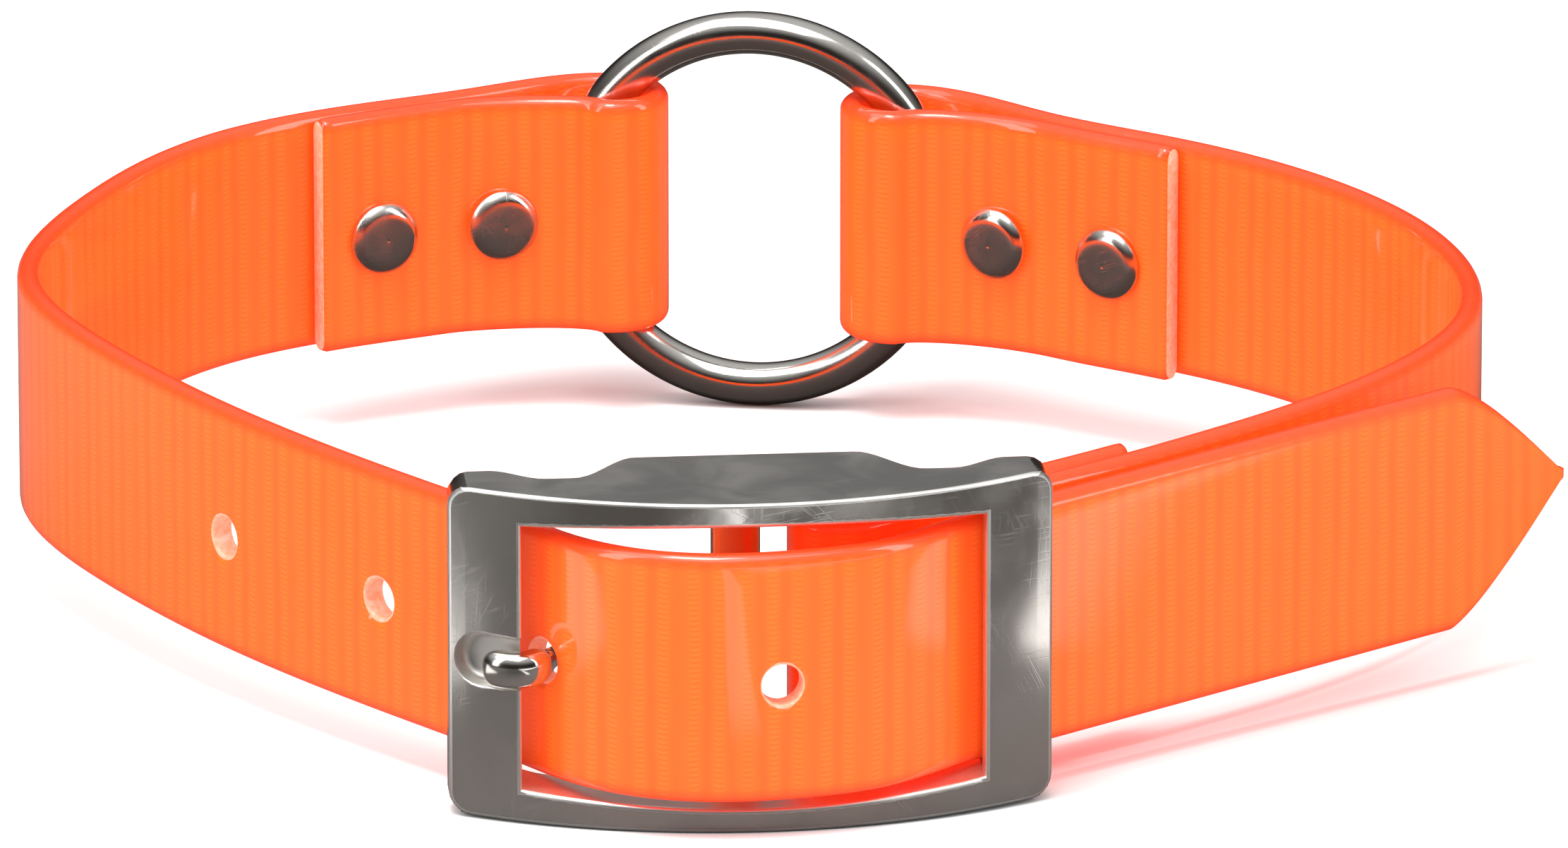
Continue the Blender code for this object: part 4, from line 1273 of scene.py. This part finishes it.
class COLLAR_OT_straps(bpy.types.Operator):
    """Builds both straps with their ribs, punched holes and pressed-in rivet places"""

    bl_idname = "collar.straps"
    bl_label = "Straps"

    def execute(self, context):
        look = context.scene.collar_straps
        base = base_matrix()
        long_path, tongue_hole, left, short_path, right = all_rivets()
        long_strap = sweep_strap("long_strap_webbing", long_path, look, True, left)
        short_strap = sweep_strap("short_strap_webbing", short_path, look, False, right)
        punches = []
        for i in range(-HOLES_BEFORE_TONGUE, HOLES_AFTER_TONGUE + 1):
            punch = hole_punch(long_path, tongue_hole + i * HOLE_PITCH, look, i + HOLES_BEFORE_TONGUE + 1)
            punch.data.materials.append(bpy.data.materials["cut webbing"])
            punches.append(helper(punch).name)
        for strap in (long_strap, short_strap):
            for name in ("coated webbing", "cut webbing"):
                strap.data.materials.append(bpy.data.materials[name])
        for name in punches:
            cut(long_strap, bpy.data.objects[name])
        finished(baked(long_strap, base, punches), ["long_strap"])
        finished(baked(short_strap, base), ["short_strap"])
        return {"FINISHED"}


class COLLAR_OT_ring(bpy.types.Operator):
    """Builds the round ring, set in its two folds"""

    bl_idname = "collar.ring"
    bl_label = "Ring"

    def execute(self, context):
        sides = context.scene.collar_metal.sides
        bpy.ops.mesh.primitive_torus_add(
            major_radius=ring_radius,
            minor_radius=RING_WIRE / 2,
            major_segments=4 * sides,
            minor_segments=sides,
        )
        ring = context.object
        ring.name = "ring_polished"
        ring.data.shade_smooth()
        x, y = ring_point(0.0, 0.0)
        lean = Matrix.Rotation(math.pi / 2 - RING_LEAN, 4, "X")
        ring.matrix_world = Matrix.Translation((x, y, 0.0)) @ Matrix.Rotation(RING_YAW, 4, "Z") @ lean
        ring.data.materials.append(bpy.data.materials["ring nickel"])
        finished(baked(ring, base_matrix()), ["center_ring"], "ring")
        return {"FINISHED"}


class COLLAR_OT_buckle(bpy.types.Operator):
    """Builds the cast buckle frame with its window, passage, recess and bars"""

    bl_idname = "collar.buckle"
    bl_label = "Buckle frame"

    def execute(self, context):
        rim = context.scene.collar_metal.rim
        high = BUCKLE_HEIGHT / 2
        block = slab("buckle_frame_cast", buckle_outline(), -high, high)
        block.data.materials.append(bpy.data.materials["cast nickel"])
        reach = BUCKLE_WIDTH / 2 + BUCKLE_PLATE
        front = [(x, face_depth(x) + BUCKLE_PLATE) for x in np.linspace(-reach, reach, FACE_STEPS + 1)]
        passage = slab(
            "passage",
            [*front, (reach, 4 * bump_depth), (-reach, 4 * bump_depth)],
            -window_height / 2,
            window_height / 2,
        )
        rings = [[(x, y, z) for x, z in front_outline()] for y in (-2 * bump_depth, 2 * bump_depth)]
        corners = lofted("corners", rings)
        window, recess = window_cutter(rim), recess_solid(RECESS_RIM)
        offsets = {"tongue bar": TONGUE_BAR_OFFSET, "strap bar": strap_bar_offset}
        bars = [bar(name, offset) for name, offset in offsets.items()]
        # painted highlight: the pale rim nickel goes onto the block's bevels and the faces that window and
        # recess cut
        for other in (block, window, recess):
            other.data.materials.append(bpy.data.materials["rim nickel"])
        for other in (passage, corners, *bars):
            other.data.materials.append(bpy.data.materials["cast nickel"])
        helpers = [helper(other).name for other in (passage, corners, window, recess, *bars)]
        cut(block, corners, "INTERSECT")
        edges = block.modifiers.new("rounded edges", "BEVEL")
        edges.width = context.scene.collar_metal.edge
        edges.segments = BEVEL_STEPS
        edges.use_clamp_overlap = False
        # the bevelled edges take the painted highlight of the rim nickel
        edges.material = 1
        edges.limit_method = "ANGLE"
        edges.angle_limit = math.radians(50)
        for other in (window, passage, recess):
            cut(block, other)
        for other in bars:
            cut(block, other, "UNION")
        x, y = buckle_point(0.0, 0.0)
        place = Matrix.Translation((x, y, BUCKLE_LIFT)) @ Matrix.Rotation(BUCKLE_YAW, 4, "Z")
        frame_piece = baked(block, base_matrix() @ place, helpers)
        frame_piece.data.shade_smooth()
        frame_piece.data.set_sharp_from_angle(angle=math.radians(32))
        even = frame_piece.modifiers.new("even shading", "WEIGHTED_NORMAL")
        even.keep_sharp = True
        finished(baked(frame_piece), ["buckle_frame"])
        return {"FINISHED"}


class COLLAR_OT_tongue(bpy.types.Operator):
    """Builds the tongue: eye, arm and thick polished tip"""

    bl_idname = "collar.tongue"
    bl_label = "Tongue"

    def execute(self, context):
        eye, run, hole = tongue_run()
        total = lengths_along(run)
        hole_at = total[int(np.argmin(np.linalg.norm(run - hole, axis=1)))]
        thin, thick = TONGUE_WIRE / 2, TONGUE_TIP_WIDTH / 2
        sizes = [(thin, thin)] * len(eye)
        for length in total:
            swell = smoothstep((length - hole_at) / TONGUE_SWELL)
            left = min((total[-1] - length) / thick, 1.0)
            blunt = max(math.sqrt(1.0 - (1.0 - left) ** 2), TONGUE_BLUNT)
            high = (thin + (thick - thin) * swell) * blunt
            deep = (thin + (TONGUE_TIP_DEPTH / 2 - thin) * swell) * blunt
            sizes.append((deep, high))
        points = []
        for point in [*eye, *run]:
            x, y = buckle_point(*point)
            points.append((x, y, -HOLE_DROP))
        piece = tube("tongue_polished", points, sizes, TONGUE_SIDES)
        piece.data.materials.append(bpy.data.materials["ring nickel"])
        finished(baked(piece, base_matrix()), ["buckle_tongue"])
        return {"FINISHED"}


class COLLAR_OT_rivets(bpy.types.Operator):
    """Sets a cap on each face of each rivet and a post between them"""

    bl_idname = "collar.rivets"
    bl_label = "Rivets"

    def execute(self, context):
        _, _, left, _, right = all_rivets()
        places, facings, lengths = [], [], []
        for matrix, stack in left + right:
            axis = Vector(matrix.col[2][:3])
            for side in (1.0, -1.0):
                places.append(matrix.translation + axis * side * stack / 2)
                turned_over = matrix if side > 0 else matrix @ Matrix.Rotation(math.pi, 4, "X")
                facings.append(tuple(turned_over.to_euler()))
                lengths.append(0.0)
            places.append(matrix.translation)
            facings.append(tuple(matrix.to_euler()))
            lengths.append(stack)
        carrier = new_mesh("rivet_caps_and_posts", places, [])
        facing = carrier.data.attributes.new("facing", "FLOAT_VECTOR", "POINT")
        facing.data.foreach_set("vector", np.array(facings, np.float32).ravel())
        length = carrier.data.attributes.new("length", "FLOAT", "POINT")
        length.data.foreach_set("value", lengths)
        dot = context.scene.collar_metal.cap_dot
        height, radius = RIVET_CAP_HEIGHT + CLEARANCE, RIVET_CAP / 2
        profile = [(x * radius, z * height + dot * lift) for x, z, lift in CAP_LOOK]
        cap = helper(lathe("rivet cap", profile, CAP_SIDES))
        modifier = carrier.modifiers.new("rivets", "NODES")
        modifier.node_group = rivet_tree()
        inputs = [item for item in modifier.node_group.interface.items_tree if item.in_out == "INPUT"]
        sockets = {item.name: item.identifier for item in inputs}
        modifier[sockets["Cap"]] = cap
        modifier[sockets["Post Radius"]] = RIVET_POST / 2
        modifier[sockets["Metal"]] = bpy.data.materials["rivet nickel"]
        piece = baked(carrier, base_matrix(), [cap.name])
        piece.data.shade_smooth()
        piece.data.set_sharp_from_angle(angle=math.radians(40))
        nodes = [name for name in frame["nodes"] if "rivet" in name]
        finished(piece, nodes)
        return {"FINISHED"}


class COLLAR_OT_stage(bpy.types.Operator):
    """Sets the floor, the light and the camera"""

    bl_idname = "collar.stage"
    bl_label = "Stage"

    def execute(self, context):
        look = context.scene.collar_stage
        floor = new_mesh("floor", [(-4, -3, 0), (4, -3, 0), (4, 7, 0), (-4, 7, 0)], [(0, 1, 2, 3)])
        floor.location.z = -0.05 * MM
        floor_material(look)
        floor.data.materials.append(bpy.data.materials["pale floor"])
        for name, power, place, size in (
            ("key", look.key, (-0.25, -0.35, 1.5), (1.6, 1.2)),
            ("sparkle", look.sparkle, (-0.12, -0.20, 1.1), (0.34, 0.34)),
            ("left strip", look.side, (-1.1, -0.75, 0.75), (0.35, 1.3)),
            ("right strip", look.side, (1.25, -0.45, 0.7), (0.35, 1.3)),
        ):
            light = bpy.data.lights.new(name, "AREA")
            light.shape = "RECTANGLE"
            light.size, light.size_y = size
            light.energy = power
            lamp = bpy.data.objects.new(name, light)
            lamp.location = place
            aim = Vector(LIGHTS_AIM) - Vector(place)
            lamp.rotation_euler = aim.to_track_quat("-Z", "Y").to_euler()
            context.scene.collection.objects.link(lamp)
        context.scene.world = studio_world(look)
        context.scene.view_settings.view_transform = "Standard"
        data = bpy.data.cameras.new("camera")
        data.sensor_width = 36.0
        data.lens = CAMERA_FOCAL_PIXELS / PHOTO_SIZE[0] * data.sensor_width
        data.shift_x = (PHOTO_SIZE[0] / 2 - CAMERA_AXIS_PIXELS[0]) / PHOTO_SIZE[0]
        data.shift_y = (CAMERA_AXIS_PIXELS[1] - PHOTO_SIZE[1] / 2) / PHOTO_SIZE[0]
        data.clip_end = 20.0
        camera = bpy.data.objects.new("camera", data)
        e = look.elevation
        forward = Vector((0.0, math.cos(e), -math.sin(e)))
        target = Vector(CAMERA_TARGET)
        view = forward.to_track_quat("-Z", "Y").to_matrix().to_4x4()
        view.translation = target - look.distance * forward
        camera.matrix_world = base_matrix() @ view
        context.scene.collection.objects.link(camera)
        context.scene.camera = camera
        return {"FINISHED"}


class COLLAR_PT_panel(bpy.types.Panel):
    """Lists the collar's steps and looks"""

    bl_idname = "COLLAR_PT_panel"
    bl_label = "Dog collar"
    bl_space_type = "VIEW_3D"
    bl_region_type = "UI"
    bl_category = "Collar"

    def draw(self, context):
        for name in STEPS:
            self.layout.operator("collar." + name)
        for group in ("collar_straps", "collar_metal", "collar_stage"):
            box = self.layout.box()
            look = getattr(context.scene, group)
            for name in look.__annotations__:
                box.prop(look, name)


STEPS = ("materials", "straps", "ring", "buckle", "tongue", "rivets", "stage")
LOOKS = {"collar_straps": CollarStrapLook, "collar_metal": CollarMetalLook, "collar_stage": CollarStageLook}
OPERATORS = (
    COLLAR_OT_materials,
    COLLAR_OT_straps,
    COLLAR_OT_ring,
    COLLAR_OT_buckle,
    COLLAR_OT_tongue,
    COLLAR_OT_rivets,
    COLLAR_OT_stage,
)


def register():
    for made in (*LOOKS.values(), *OPERATORS, COLLAR_PT_panel):
        bpy.utils.register_class(made)
    for name, made in LOOKS.items():
        setattr(bpy.types.Scene, name, PointerProperty(type=made))


def unregister():
    for name in LOOKS:
        delattr(bpy.types.Scene, name)
    for made in (COLLAR_PT_panel, *reversed(OPERATORS), *LOOKS.values()):
        bpy.utils.unregister_class(made)


def main():
    register()
    for name in STEPS:
        getattr(bpy.ops.collar, name)()


if __name__ == "__main__":
    main()
